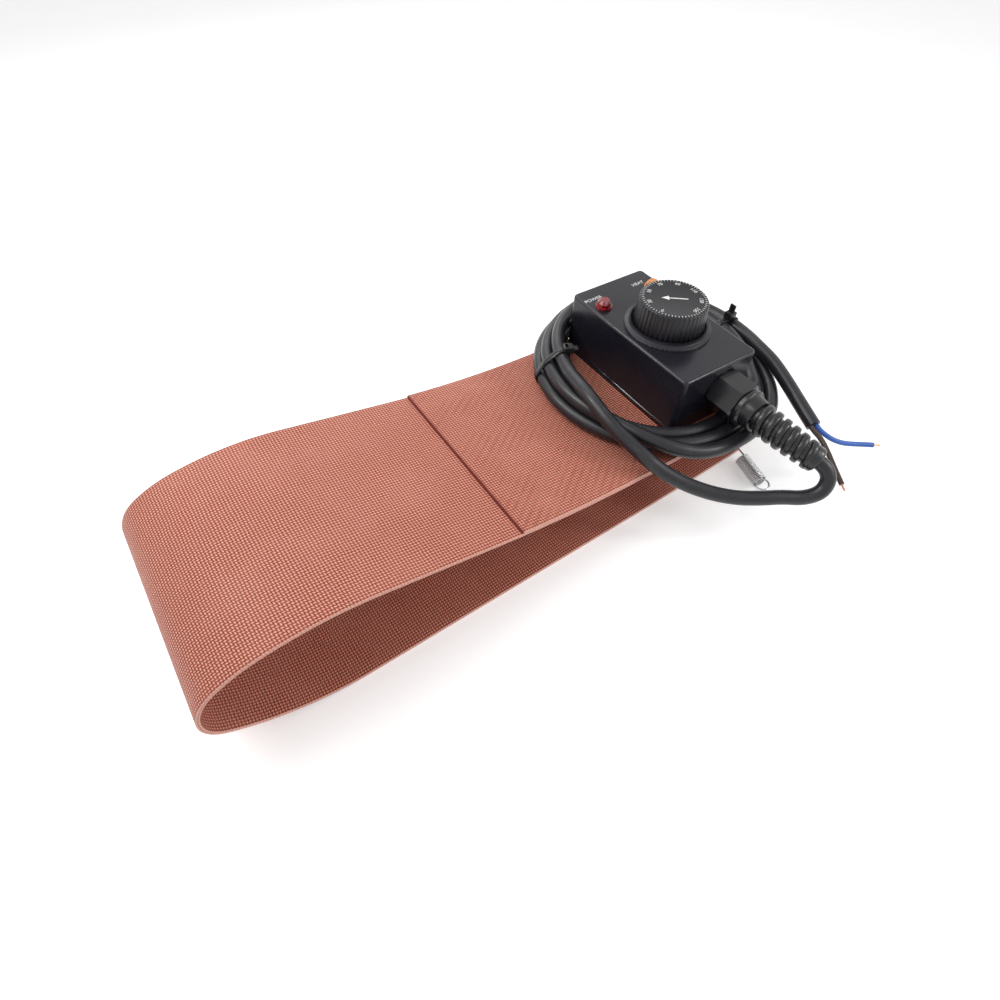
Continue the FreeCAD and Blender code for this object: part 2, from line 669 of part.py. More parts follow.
def route_edges(points, name=None):
    """Straight runs joined by tangent arcs through a list of points."""
    edges = []
    start = points[0]
    radii = []
    for before, corner, after in zip(points, points[1:], points[2:]):
        radius = arc_radius(before, corner, after)
        radii.append(round(radius, 1))
        into = (corner - before).normalize()
        out = (after - corner).normalize()
        half = into.getAngle(out) / 2
        setback = radius * tan(half)
        first = corner - into * setback
        last = corner + out * setback
        middle = corner + (out - into).normalize() * radius * (1 / cos(half) - 1)
        edges.append(Part.LineSegment(start, first).toShape())
        edges.append(Part.Arc(first, middle, last).toShape())
        start = last
    edges.append(Part.LineSegment(start, points[-1]).toShape())
    if name:
        print(name, "radii", radii)
    return edges


def bar_section(radius, centre, heading, sides):
    """A many-sided section square to a heading, which keeps the facets of a thin bar few."""
    turn = FreeCAD.Rotation(UP, heading)
    angles = [2 * pi * index / sides for index in range(sides + 1)]
    corners = [centre + turn.multVec(Vec(radius * cos(angle), radius * sin(angle), 0)) for angle in angles]
    return Part.Face(Part.makePolygon(corners))


def swept(edges, radius, sides=CABLE_SIDES):
    """A bar along straight runs and arcs, made end to end, with its section carried along."""
    heading = edges[0].tangentAt(edges[0].FirstParameter)
    section = bar_section(radius, edges[0].valueAt(edges[0].FirstParameter), heading, sides)
    bars = []
    for edge in edges:
        ahead = section.copy()
        if isinstance(edge.Curve, Part.Circle):
            curve = edge.Curve
            turn = degrees(edge.Length / curve.Radius)
            bars.append(section.revolve(curve.Center, curve.Axis, turn))
            ahead.rotate(curve.Center, curve.Axis, turn)
        else:
            step = edge.tangentAt(edge.FirstParameter) * edge.Length
            bars.append(section.extrude(step))
            ahead.translate(step)
        section = ahead
    return bars[0].fuse(bars[1:])


def tube(points, diameter, sides=CABLE_SIDES, name=None):
    """A cable along a route; its volume is compared with section times length."""
    edges = route_edges(points, name)
    solid = swept(edges, diameter / 2, sides)
    if name:
        length = sum(edge.Length for edge in edges)
        expected = length * sides / 2 * (diameter / 2) ** 2 * sin(2 * pi / sides)
        print(name, "length", round(length, 1), "volume ratio", round(solid.Volume / expected, 4))
    return solid


def make_gland_body():
    """Hexagon against the box, with a threaded stub through its wall."""
    corner = HEX_FLATS / sqrt(3)
    prism = hexagon(corner).extrude(Vec(0, -(HEX_LENGTH - SEAL_THICKNESS), 0))
    prism.translate(Vec(GLAND_X, -BOX_LENGTH / 2 - SEAL_THICKNESS, GLAND_HEIGHT))
    bevel = Part.makeCone(corner + 0.2, HEX_FLATS / 2 - 0.4, HEX_BEVEL,
                          Vec(GLAND_X, -BOX_LENGTH / 2 - HEX_LENGTH + HEX_BEVEL, GLAND_HEIGHT), Vec(0, -1, 0))
    sleeve = gland_tube(corner + 0.2, 0, HEX_LENGTH - HEX_BEVEL)
    stub = gland_tube(THREAD_RADIUS, -GLAND_THREAD, GLAND_THREAD + SEAL_THICKNESS)
    bore = gland_tube(CABLE_DIAMETER / 2 + CABLE_GAP, -GLAND_THREAD - 1, GLAND_THREAD + HEX_LENGTH + 2)
    return prism.common(sleeve.fuse(bevel)).fuse(stub).removeSplitter().cut(bore)


def make_gland_seal():
    ring = gland_tube(HEX_FLATS / 2 - 0.3, 0, SEAL_THICKNESS)
    return ring.cut(gland_tube(THREAD_RADIUS + CABLE_GAP, -1, SEAL_THICKNESS + 2))


def hexagon(corner):
    points = [Vec(corner * cos(radians(60 * k)), 0, corner * sin(radians(60 * k))) for k in range(7)]
    return Part.Face(Part.makePolygon(points))


def locknut_corner():
    return (HEX_FLATS - 1) / sqrt(3)


def make_locknut():
    nut = hexagon(locknut_corner()).extrude(Vec(0, NUT_THICKNESS, 0))
    nut.translate(Vec(GLAND_X, -BOX_LENGTH / 2 + BOX_WALL, GLAND_HEIGHT))
    return nut.cut(gland_tube(THREAD_RADIUS + CABLE_GAP, -12, 14))


GUARD_START = HEX_LENGTH + COLLAR_LENGTH + SHOULDER_LENGTH
GUARD_OFFSET = sqrt(GUARD_SIDEWAYS ** 2 + GUARD_DROOP ** 2)
GUARD_BEND = (GUARD_LENGTH ** 2 + GUARD_OFFSET ** 2) / (2 * GUARD_OFFSET)
GUARD_TURN = atan2(GUARD_LENGTH, GUARD_BEND - GUARD_OFFSET)
GUARD_ASIDE = Vec(GUARD_SIDEWAYS, 0, -GUARD_DROOP).normalize()


def guard_axis(turn):
    """Point and heading on the guard's drooping axis after part of its turn."""
    root = Vec(GLAND_X, -BOX_LENGTH / 2 - GUARD_START, GLAND_HEIGHT)
    ahead = Vec(0, -1, 0)
    point = root + ahead * (GUARD_BEND * sin(turn)) + GUARD_ASIDE * (GUARD_BEND * (1 - cos(turn)))
    return point, ahead * cos(turn) + GUARD_ASIDE * sin(turn)


def guard_ring(part):
    """One turn of the guard's spiral, taken as a ring square to the axis."""
    centre, ahead = guard_axis(GUARD_TURN * part)
    outer = RING_START_RADIUS + (RING_END_RADIUS - RING_START_RADIUS) * part
    face = bar_section(outer, centre - ahead * (RING_WIDTH / 2), ahead, RING_SIDES)
    return face.extrude(ahead * RING_WIDTH)


def make_guard():
    """Gland nut, bend guard and end cuff, moulded as one."""
    collar = gland_tube(COLLAR_RADIUS, HEX_LENGTH, COLLAR_LENGTH)
    collar = collar.makeChamfer(COLLAR_EDGE, [edge for edge in collar.Edges if len(edge.Vertexes) == 1])
    shoulder_at = Vec(GLAND_X, -BOX_LENGTH / 2 - HEX_LENGTH - COLLAR_LENGTH + COLLAR_EDGE, GLAND_HEIGHT)
    shoulder = Part.makeCone(COLLAR_RADIUS - 2 * COLLAR_EDGE, SHOULDER_RADIUS,
                             SHOULDER_LENGTH + COLLAR_EDGE, shoulder_at, Vec(0, -1, 0))
    end, ahead = guard_axis(GUARD_TURN)
    cuff = Part.makeCylinder(RING_END_RADIUS, CUFF_LENGTH, end - ahead * CUFF_LENGTH, ahead)
    sleeve = tube_along_gland(CABLE_DIAMETER / 2 + SLEEVE_WALL, HEX_LENGTH + COLLAR_LENGTH)
    rings = [guard_ring(index / RING_COUNT) for index in range(1, RING_COUNT)]
    bore = tube_along_gland(CABLE_DIAMETER / 2 + CABLE_GAP, HEX_LENGTH - 1, 1.0)
    return sleeve.fuse([collar, shoulder, cuff] + rings).cut(bore)


def tube_along_gland(radius, start, overrun=0.0):
    """A bar that follows the gland's axis and the guard's droop from a distance off the box."""
    begin = Vec(GLAND_X, -BOX_LENGTH / 2 - start, GLAND_HEIGHT)
    root = guard_axis(0)[0]
    middle = guard_axis(GUARD_TURN / 2)[0]
    end, ahead = guard_axis(GUARD_TURN)
    edges = [Part.LineSegment(begin, root).toShape(), Part.Arc(root, middle, end).toShape()]
    if overrun:
        edges.append(Part.LineSegment(end, end + ahead * overrun).toShape())
    return swept(edges, radius)


def core_tails():
    """The two cores from the cable's end, under the thermostat, to the terminal block."""
    solids = []
    z = BASE_THICKNESS + BLOCK_ENTRY
    start_y = -BOX_LENGTH / 2 + CABLE_END
    face_y = BLOCK_Y - BLOCK_DEPTH / 2
    for side in (-1, 1):
        pole = side * BLOCK_POLE / 2
        points = [Vec(GLAND_X + side * CORE_SPREAD, start_y, GLAND_HEIGHT),
                  Vec(GLAND_X + side * CORE_SPREAD, start_y + STRAIGHT_EXIT, GLAND_HEIGHT),
                  Vec((GLAND_X + pole) / 2, start_y + 12, z + 3),
                  Vec(pole, start_y + 22, z), Vec(pole, face_y + 4, z)]
        solids.append(tube(points, CORE_DIAMETER, CORE_SIDES))
    return solids


def coil_frame():
    return BOX_FRAME.multiply(FreeCAD.Placement(Vec(COIL_X, COIL_Y, 0), FreeCAD.Rotation()))


def sector(radius, height, low, start, end):
    """A pie slice round Z between two directions in degrees."""
    slice_solid = Part.makeCylinder(radius, height, Vec(0, 0, low), UP, end - start)
    slice_solid.rotate(Vec(0, 0, 0), UP, start)
    return slice_solid


def ring_part(inner, outer, low, top, start, end):
    """A stretch of a ring round the coil's axis."""
    return sector(outer, top - low, low, start, end).cut(Part.makeCylinder(inner, top - low, Vec(0, 0, low)))


def make_coil():
    """The outer shape of the coiled cable: two strands below, others nestled on them."""
    low = COIL_LIFT
    first = low + COIL_PLY
    second = first + NESTLED_HEIGHT
    third = second + NESTLED_HEIGHT
    outer = COIL_INNER + 2 * COIL_PLY
    tucked = COIL_INNER - NESTLED_TUCK
    nestled = outer - COIL_PLY / 2
    ring = ring_part(COIL_INNER, outer, low, first, RIGHT_END, FULL_TURN + FRONT_END)
    crossing = COIL_INNER + CROSSING_BEYOND + COIL_PLY / 2
    turned = FULL_TURN + TOP_START
    parts = [
        ring_part(COIL_INNER - RIGHT_SHIFT, outer - RIGHT_SHIFT, low, first, FRONT_END, RIGHT_END),
        ring_part(tucked, nestled, first - 1, second, TAIL_EXIT, turned),
        ring_part(tucked, COIL_INNER + INNER_STRAND, first - 1, second, TOP_END, TAIL_EXIT),
        ring_part(tucked + 2, COIL_INNER + COIL_PLY, second - 1, third, RISE_START, RISE_END),
        ring_part(COIL_INNER, crossing, first - 1, third + 1, turned - CROSSING_WIDTH, turned),
        front_part(first)]
    corner_room = rounded_block(BOX_WIDTH + 1, BOX_LENGTH + 1, 2 * third, BOX_CORNER + 0.5)
    corner_room.translate(Vec(-COIL_X, -COIL_Y, 0))
    return ring.fuse(parts).cut(corner_room).removeSplitter()


def front_part(top):
    """Three strands abreast under the gland, the first one straight along the box's face."""
    slab = sector(COIL_INNER + COIL_FRONT_WIDTH, top - COIL_LIFT, COIL_LIFT, FRONT_START, FRONT_END)
    core = Part.makeCylinder(COIL_INNER, 2 * top, Vec(0, 0, -top))
    chord = -BOX_LENGTH / 2 - COIL_FRONT_GAP
    beyond = box_between(Vec(-COIL_INNER, 2 * chord, -top), Vec(COIL_INNER, chord, top))
    return slab.cut(core.cut(beyond))


def tie_strap(direction, head_offset, upright_tail):
    """A cable tie round the strands, with its head on top of them."""
    low = COIL_LIFT - TIE_GAP
    middle = COIL_LIFT + COIL_PLY + TIE_GAP
    high = middle + NESTLED_HEIGHT
    inner = COIL_INNER - NESTLED_TUCK - TIE_GAP
    outer = COIL_INNER + 2 * COIL_PLY + TIE_GAP
    corners = [(inner + NESTLED_TUCK, low), (outer, low), (outer, middle), (outer - COIL_PLY / 2, high),
               (inner, high), (inner, middle - 1), (inner + NESTLED_TUCK, low)]
    face = Part.Face(Part.makePolygon([Vec(x, -TIE_WIDTH / 2, z) for x, z in corners]))
    loop = face.makeOffset2D(TIE_THICKNESS).cut(face).extrude(Vec(0, TIE_WIDTH, 0))
    head_low = high + TIE_THICKNESS
    head_size = Vec(TIE_HEAD_LENGTH, TIE_HEAD_WIDTH, TIE_HEAD_HEIGHT)
    head_at = Vec(inner + head_offset, 0, head_low + TIE_HEAD_HEIGHT / 2 - TIE_HEAD_SINK)
    tail_size = Vec(TIE_TAIL, TIE_WIDTH, TIE_STRAP_END)
    tail_at = head_at - Vec(TIE_TAIL / 2, 0, 0)
    if upright_tail:
        tail_size = Vec(TIE_STRAP_END, TIE_WIDTH, TIE_TAIL)
        tail_at = head_at + UP * ((TIE_HEAD_HEIGHT + TIE_TAIL) / 2 - 2 * TIE_HEAD_SINK)
    tie = loop.fuse([centred_box(head_size, head_at), centred_box(tail_size, tail_at)]).removeSplitter()
    tie.rotate(Vec(0, 0, 0), UP, direction)
    return tie


def coil_point(direction, radius, height):
    """A point in the part's frame from polar coordinates on the coil."""
    angle = radians(direction)
    return coil_frame().multVec(Vec(radius * cos(angle), radius * sin(angle), height))


def free_point(place, above=0.0):
    direction, beyond, height = place
    return coil_point(direction, COIL_INNER + beyond, above + height)


def make_lead():
    """From the guard's mouth round the front and up onto the coil."""
    mouth, ahead = guard_axis(GUARD_TURN)
    points = [BOX_FRAME.multVec(mouth), BOX_FRAME.multVec(mouth + ahead * LEAD_EXIT)]
    points += [free_point(place, GLAND_HEIGHT) for place in LEAD_FOLD]
    points += [free_point(place) for place in LEAD_ROUTE]
    points.append(coil_point(TOP_START, COIL_INNER + CROSSING_BEYOND, CROSSING_HEIGHT))
    return tube(points, CABLE_DIAMETER, name="cable_lead")


def make_tail():
    height = COIL_LIFT + 1.5 * COIL_PLY
    points = [coil_point(TAIL_EXIT, COIL_INNER + COIL_PLY, height)]
    points += [free_point(place) for place in TAIL_ROUTE + [TAIL_END]]
    return tube(points, CABLE_DIAMETER, name="cable_tail")


def spring_shape():
    """A close-wound spring along -Y from its hook, which stands in an eyelet at the origin."""
    length = SPRING_TURNS * WIRE
    outer = SPRING_OD / 2
    axis_z = outer + GROUND_GAP
    start = Vec(0, -HOOK_REACH, axis_z)
    winding = Part.makeCylinder(outer, length, start, Vec(0, -1, 0))
    hollow = Part.makeCylinder(outer - WIRE, length, start, Vec(0, -1, 0))
    return winding.cut(hollow).fuse([hook(axis_z), end_loop(axis_z, length)])


def hook(axis_z):
    """The hook that passes down through the eyelet and turns back below it."""
    top = axis_z + SPRING_OD / 2 - HOOK_SINK
    low = 0.75
    points = [Vec(0, -HOOK_REACH - WIRE, top), Vec(0, -5.4, top), Vec(0, -1.3, top - 0.9),
              Vec(0, 0, top - 3.4), Vec(0, 0, low + 1.4), Vec(0, -1.3, low), Vec(0, -4.6, low - 0.15)]
    return tube(points, WIRE, CORE_SIDES)


def end_loop(axis_z, length):
    centre = Vec(0, -HOOK_REACH - length - LOOP_STANDOFF, axis_z)
    angles = [radians(LOOP_OPENING / 2 + part * (FULL_TURN - LOOP_OPENING)) for part in (0.0, 0.5, 1.0)]
    points = [centre + Vec(LOOP_RADIUS * cos(angle), LOOP_RADIUS * sin(angle), 0) for angle in angles]
    loop = swept([Part.Arc(points[0], points[1], points[2]).toShape()], WIRE / 2, CORE_SIDES)
    loop.rotate(centre, UP, LOOP_FACES)
    return loop


def make_springs():
    near_place, far_place = eyelet_places()[0]
    near = spring_shape()
    near.rotate(Vec(0, 0, 0), UP, -SPRING_LEAN)
    far = near.mirror(Vec(0, 0, 0), Vec(0, 1, 0))
    springs = []
    for shape, place in ((near, near_place), (far, far_place)):
        shape.translate(Vec(place.Base.x, place.Base.y, 0))
        springs.append(shape)
    return springs


def core_start(side):
    """Where a core leaves the cut end of the cable."""
    end = free_point(TAIL_END)
    heading = (end - free_point(TAIL_ROUTE[-1])).normalize()
    across = heading.cross(UP).normalize()
    return end + across * (side * CORE_SPREAD), heading


def make_core(side, route, end):
    start, heading = core_start(side)
    points = [start, start + heading * STRAIGHT_EXIT] + [free_point(place) for place in route + [end]]
    return tube(points, CORE_DIAMETER, CORE_SIDES)


def make_tip(route, end):
    """Bare copper that stands out of a core's insulation."""
    end = free_point(end)
    heading = (end - free_point(route[-1])).normalize()
    return Part.makeCylinder(COPPER_DIAMETER / 2, COPPER_LENGTH, end, heading)


def in_box_frame(shape):
    return placed(shape, BOX_FRAME)


def build():
    """Every piece by its node name."""
    outer, inner, element = make_band()
    red, amber = make_lamps()
    near, far = make_springs()
    in_coil = coil_frame()
    lead, tail = make_lead(), make_tail()
    boxed = {
        "box_base": make_base(),
        "box_housing": make_housing(),
        "dial_ring": make_dial_ring(),
        "knob": make_knob(),
        "spindle": make_spindle(),
        "thermostat_body": make_thermostat(),
        "panel_screws": make_screws(),
        "lamp_red_lens": red[0],
        "lamp_red_body": red[1],
        "lamp_amber_lens": amber[0],
        "lamp_amber_body": amber[1],
        "terminal_block": make_block(),
        "terminal_screws": make_block_screws(),
        "sensor_bulb": make_bulb(),
        "capillary_tube": tube(capillary_route(), 2 * CAPILLARY_RADIUS, CORE_SIDES),
        "element_leads": make_leads(),
        "gland_body": make_gland_body(),
        "gland_seal": make_gland_seal(),
        "gland_locknut": make_locknut(),
        "gland_guard": make_guard(),
        "cable_inside": tube_along_gland(CABLE_DIAMETER / 2, -CABLE_END),
        "cores_inside": Part.makeCompound(core_tails()),
    }
    pieces = {name: in_box_frame(shape) for name, shape in boxed.items()}
    pieces.update({
        "heater_outer_ply": outer,
        "heater_inner_ply": inner,
        "heating_element": element,
        "terminal_cover": make_cover(),
        "eyelets": make_eyelets(),
        "cable_lead": lead,
        "cable_coil": placed(make_coil(), in_coil).cut([lead, tail]),
        "cable_tail": tail,
        "tie_left": placed(tie_strap(TIE_LEFT, TIE_LEFT_HEAD, False), in_coil),
        "tie_back": placed(tie_strap(TIE_BACK, TIE_BACK_HEAD, True), in_coil),
        "core_blue": make_core(-1, BLUE_ROUTE, BLUE_END),
        "core_brown": make_core(1, BROWN_ROUTE, BROWN_END),
        "copper_blue": make_tip(BLUE_ROUTE, BLUE_END),
        "copper_brown": make_tip(BROWN_ROUTE, BROWN_END),
        "spring_near": near,
        "spring_far": far,
    })
    return pieces


def main():
    os.makedirs("parts", exist_ok=True)
    for name, shape in build().items():
        print(name, "solids", len(shape.Solids), "valid", shape.isValid(), "volume", round(shape.Volume, 1))
        shape.exportStep("parts/" + name + ".step")


main()
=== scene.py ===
"""Silicone band heater: a strap lying as a flattened loop, its thermostat box and its coiled cable.

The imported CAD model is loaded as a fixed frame. The classes below dress it: each sub-assembly
holds its own sizes in millimetres and builds its meshes in the frame's metres.
"""

import json
import logging
import math
from dataclasses import dataclass, field
from enum import Enum

import bmesh
import bpy
from mathutils import Matrix, Vector

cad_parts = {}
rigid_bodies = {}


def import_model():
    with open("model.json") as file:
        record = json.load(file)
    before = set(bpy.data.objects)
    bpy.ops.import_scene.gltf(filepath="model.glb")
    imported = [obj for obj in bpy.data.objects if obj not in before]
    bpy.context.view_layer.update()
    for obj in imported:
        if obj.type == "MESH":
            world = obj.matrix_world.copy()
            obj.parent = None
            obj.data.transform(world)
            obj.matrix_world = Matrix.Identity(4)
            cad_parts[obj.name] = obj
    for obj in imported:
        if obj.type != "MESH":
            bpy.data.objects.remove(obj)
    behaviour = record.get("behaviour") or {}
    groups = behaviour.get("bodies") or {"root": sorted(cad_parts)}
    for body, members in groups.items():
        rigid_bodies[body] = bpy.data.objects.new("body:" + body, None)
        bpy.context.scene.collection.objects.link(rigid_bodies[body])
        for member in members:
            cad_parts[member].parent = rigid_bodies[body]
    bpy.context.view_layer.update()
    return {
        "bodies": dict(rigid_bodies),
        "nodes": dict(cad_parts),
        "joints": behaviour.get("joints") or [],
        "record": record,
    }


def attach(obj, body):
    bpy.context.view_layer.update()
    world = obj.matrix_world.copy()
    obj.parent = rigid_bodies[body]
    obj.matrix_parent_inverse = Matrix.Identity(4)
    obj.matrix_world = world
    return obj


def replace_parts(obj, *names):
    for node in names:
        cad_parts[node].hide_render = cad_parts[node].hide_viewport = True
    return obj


LOG = logging.getLogger("band_heater")
MM = 0.001
BOX_FROM_END = 33.8
BOX_DEPTH = -1.2
BOX_ACROSS = 4.1
SPRING_ACROSS = 44.0


class Body(Enum):
    """The frame's rigid bodies."""

    STRAP = "strap"
    KNOB = "knob"
    SPRING_NEAR = "spring_near"
    SPRING_FAR = "spring_far"


class Slot(Enum):
    """The record's material slot names; only the cores' are read, to name their nodes and finishes."""

    SILICONE = "silicone"
    EYELET = "eyelet"
    SPRING = "spring_wire"
    BOX = "box"
    KNOB = "knob"
    RING = "dial_ring"
    LENS_RED = "lens_red"
    LENS_AMBER = "lens_amber"
    GLAND = "gland"
    GUARD = "guard"
    CABLE = "cable"
    CORE_BLUE = "core_blue"
    CORE_BROWN = "core_brown"
    COPPER = "copper"
    TIE = "tie"


# Shader and geometry node helpers


class ShaderGraph:
    """A material's node tree with a Principled shader to be fed."""

    def __init__(self, name: str) -> None:
        """Start an empty material.

        Args:
            name: The material's name.
        """
        self.material = bpy.data.materials.new(name)
        self.material.use_nodes = True
        self.tree = self.material.node_tree
        self.tree.nodes.clear()
        self.shader = self.tree.nodes.new("ShaderNodeBsdfPrincipled")
        output = self.tree.nodes.new("ShaderNodeOutputMaterial")
        self.link(self.shader.outputs["BSDF"], output.inputs["Surface"])

    def link(self, source: bpy.types.NodeSocket, target: bpy.types.NodeSocket) -> None:
        """Join two sockets."""
        self.tree.links.new(source, target)

    def feed(self, target: bpy.types.NodeSocket, value: object) -> None:
        """Link a socket's source, or set its plain value.

        Args:
            target: The input socket.
            value: A socket, a number or a colour.
        """
        if isinstance(value, bpy.types.NodeSocket):
            self.link(value, target)
        elif isinstance(value, tuple) and len(value) == 3 and target.type == "RGBA":
            target.default_value = (*value, 1.0)
        else:
            target.default_value = value

    def shade(self, **inputs: object) -> None:
        """Set the shader's sockets by their names, with underscores for spaces."""
        for name, value in inputs.items():
            self.feed(self.shader.inputs[name.replace("_", " ")], value)

    def math(self, operation: str, first: object, second: object = 0.0) -> bpy.types.NodeSocket:
        """One arithmetic step.

        Args:
            operation: Blender's name for it.
            first: A socket or number.
            second: A socket or number.

        Returns:
            The result.
        """
        node = self.tree.nodes.new("ShaderNodeMath")
        node.operation = operation
        self.feed(node.inputs[0], first)
        self.feed(node.inputs[1], second)
        return node.outputs[0]

    def mix(self, factor: object, first: object, second: object) -> bpy.types.NodeSocket:
        """Blend two colours by a factor.

        Args:
            factor: How much of the second.
            first: A socket or colour.
            second: A socket or colour.

        Returns:
            The blended colour.
        """
        node = self.tree.nodes.new("ShaderNodeMix")
        node.data_type = "RGBA"
        self.feed(node.inputs[0], factor)
        self.feed(node.inputs[6], first)
        self.feed(node.inputs[7], second)
        return node.outputs[2]

    def remap(self, value: object, low: float, high: float, to_low: float,
              to_high: float) -> bpy.types.NodeSocket:
        """Carry a value from one range to another, held at its ends.

        Args:
            value: A socket or number.
            low: The range's start.
            high: Its end.
            to_low: The start's result.
            to_high: The end's result.

        Returns:
            The result.
        """
        node = self.tree.nodes.new("ShaderNodeMapRange")
        for socket, given in zip(node.inputs, (value, low, high, to_low, to_high)):
            self.feed(socket, given)
        return node.outputs[0]

    def noise(self, size: float, detail: float = 3.0, stretch: tuple = (1.0, 1.0, 1.0),
              source: bpy.types.NodeSocket | None = None) -> bpy.types.NodeSocket:
        """Noise whose grains are about the given size.

        Args:
            size: Grain size in millimetres.
            detail: Octaves of finer noise.
            stretch: How much finer the grain is along each axis.
            source: The coordinates, or the object's own when left out.

        Returns:
            The noise factor.
        """
        coordinates = source or self.tree.nodes.new("ShaderNodeTexCoord").outputs["Object"]
        mapping = self.tree.nodes.new("ShaderNodeMapping")
        mapping.inputs["Scale"].default_value = stretch
        self.link(coordinates, mapping.inputs["Vector"])
        node = self.tree.nodes.new("ShaderNodeTexNoise")
        node.inputs["Scale"].default_value = 1.0 / (size * MM)
        node.inputs["Detail"].default_value = detail
        self.link(mapping.outputs["Vector"], node.inputs["Vector"])
        return node.outputs["Fac"]

    def bump(self, height: object, depth: float, strength: float = 1.0,
             over: bpy.types.NodeSocket | None = None) -> bpy.types.NodeSocket:
        """Relief of a depth in millimetres, on top of another relief if one is given.

        Args:
            height: The relief's height.
            depth: Its depth in millimetres.
            strength: How much of it shows.
            over: The relief under it.

        Returns:
            The normal.
        """
        node = self.tree.nodes.new("ShaderNodeBump")
        node.inputs["Strength"].default_value = strength
        node.inputs["Distance"].default_value = depth * MM
        self.feed(node.inputs["Height"], height)
        if over is not None:
            self.link(over, node.inputs["Normal"])
        return node.outputs["Normal"]


class PieceNodes:
    """A geometry node tree that builds one repeating piece and ends in its material."""

    def __init__(self, name: str, sizes: dict[str, float]) -> None:
        """Start a tree with named inputs.

        Args:
            name: The tree's name.
            sizes: Input names and values; whole numbers become integer inputs.
        """
        self.tree = bpy.data.node_groups.new(name, "GeometryNodeTree")
        self.sizes = sizes
        self.keys = {}
        self.tree.interface.new_socket("Geometry", in_out="INPUT", socket_type="NodeSocketGeometry")
        for label, value in sizes.items():
            kind = "NodeSocketInt" if isinstance(value, int) else "NodeSocketFloat"
            socket = self.tree.interface.new_socket(label, in_out="INPUT", socket_type=kind)
            self.keys[label] = socket.identifier
        self.tree.interface.new_socket("Geometry", in_out="OUTPUT", socket_type="NodeSocketGeometry")
        self.start = self.tree.nodes.new("NodeGroupInput")
        self.end = self.tree.nodes.new("NodeGroupOutput")

    def size(self, label: str) -> bpy.types.NodeSocket:
        """The output of one named input."""
        return self.start.outputs[label]

    def add(self, kind: str, inputs: dict[object, object] | None = None,
            **settings: object) -> bpy.types.Node:
        """Add a node, set its properties, and link or set its inputs.

        Args:
            kind: The node's type, with or without its first word.
            inputs: Sockets or values by input name.
            settings: The node's properties.

        Returns:
            The node.
        """
        node = self.tree.nodes.new("GeometryNode" + kind if "Node" not in kind else kind)
        for name, value in settings.items():
            setattr(node, name, value)
        for name, value in (inputs or {}).items():
            if isinstance(value, bpy.types.NodeSocket):
                self.tree.links.new(value, node.inputs[name])
            else:
                node.inputs[name].default_value = value
        return node

    def math(self, operation: str, first: object, second: object = 0.0) -> bpy.types.NodeSocket:
        """One arithmetic step between sockets or numbers."""
        return self.add("ShaderNodeMath", {0: first, 1: second}, operation=operation).outputs[0]

    def vector(self, x: object = 0.0, y: object = 0.0, z: object = 0.0) -> bpy.types.NodeSocket:
        """A vector from three numbers."""
        return self.add("ShaderNodeCombineXYZ", {0: x, 1: y, 2: z}).outputs[0]

    def build(self, name: str, shape: bpy.types.NodeSocket, material: bpy.types.Material,
              base: bpy.types.Mesh | None = None) -> bpy.types.Mesh:
        """Close the tree, run it once and keep the plain mesh.

        Args:
            name: The mesh's name.
            shape: The geometry that the tree has made.
            material: What the piece is dressed with.
            base: A mesh that the tree starts from, if any.

        Returns:
            The evaluated mesh.
        """
        real = self.add("RealizeInstances", {"Geometry": shape})
        dressed = self.add("SetMaterial", {"Geometry": real.outputs[0], "Material": material})
        self.tree.links.new(dressed.outputs[0], self.end.inputs[0])
        holder = bpy.data.objects.new(name, base or bpy.data.meshes.new(name))
        bpy.context.scene.collection.objects.link(holder)
        modifier = holder.modifiers.new("made", "NODES")
        modifier.node_group = self.tree
        for label, value in self.sizes.items():
            modifier[self.keys[label]] = value
        graph = bpy.context.evaluated_depsgraph_get()
        mesh = bpy.data.meshes.new_from_object(holder.evaluated_get(graph))
        bpy.data.objects.remove(holder)
        mesh.name = name
        return mesh


# Finishes


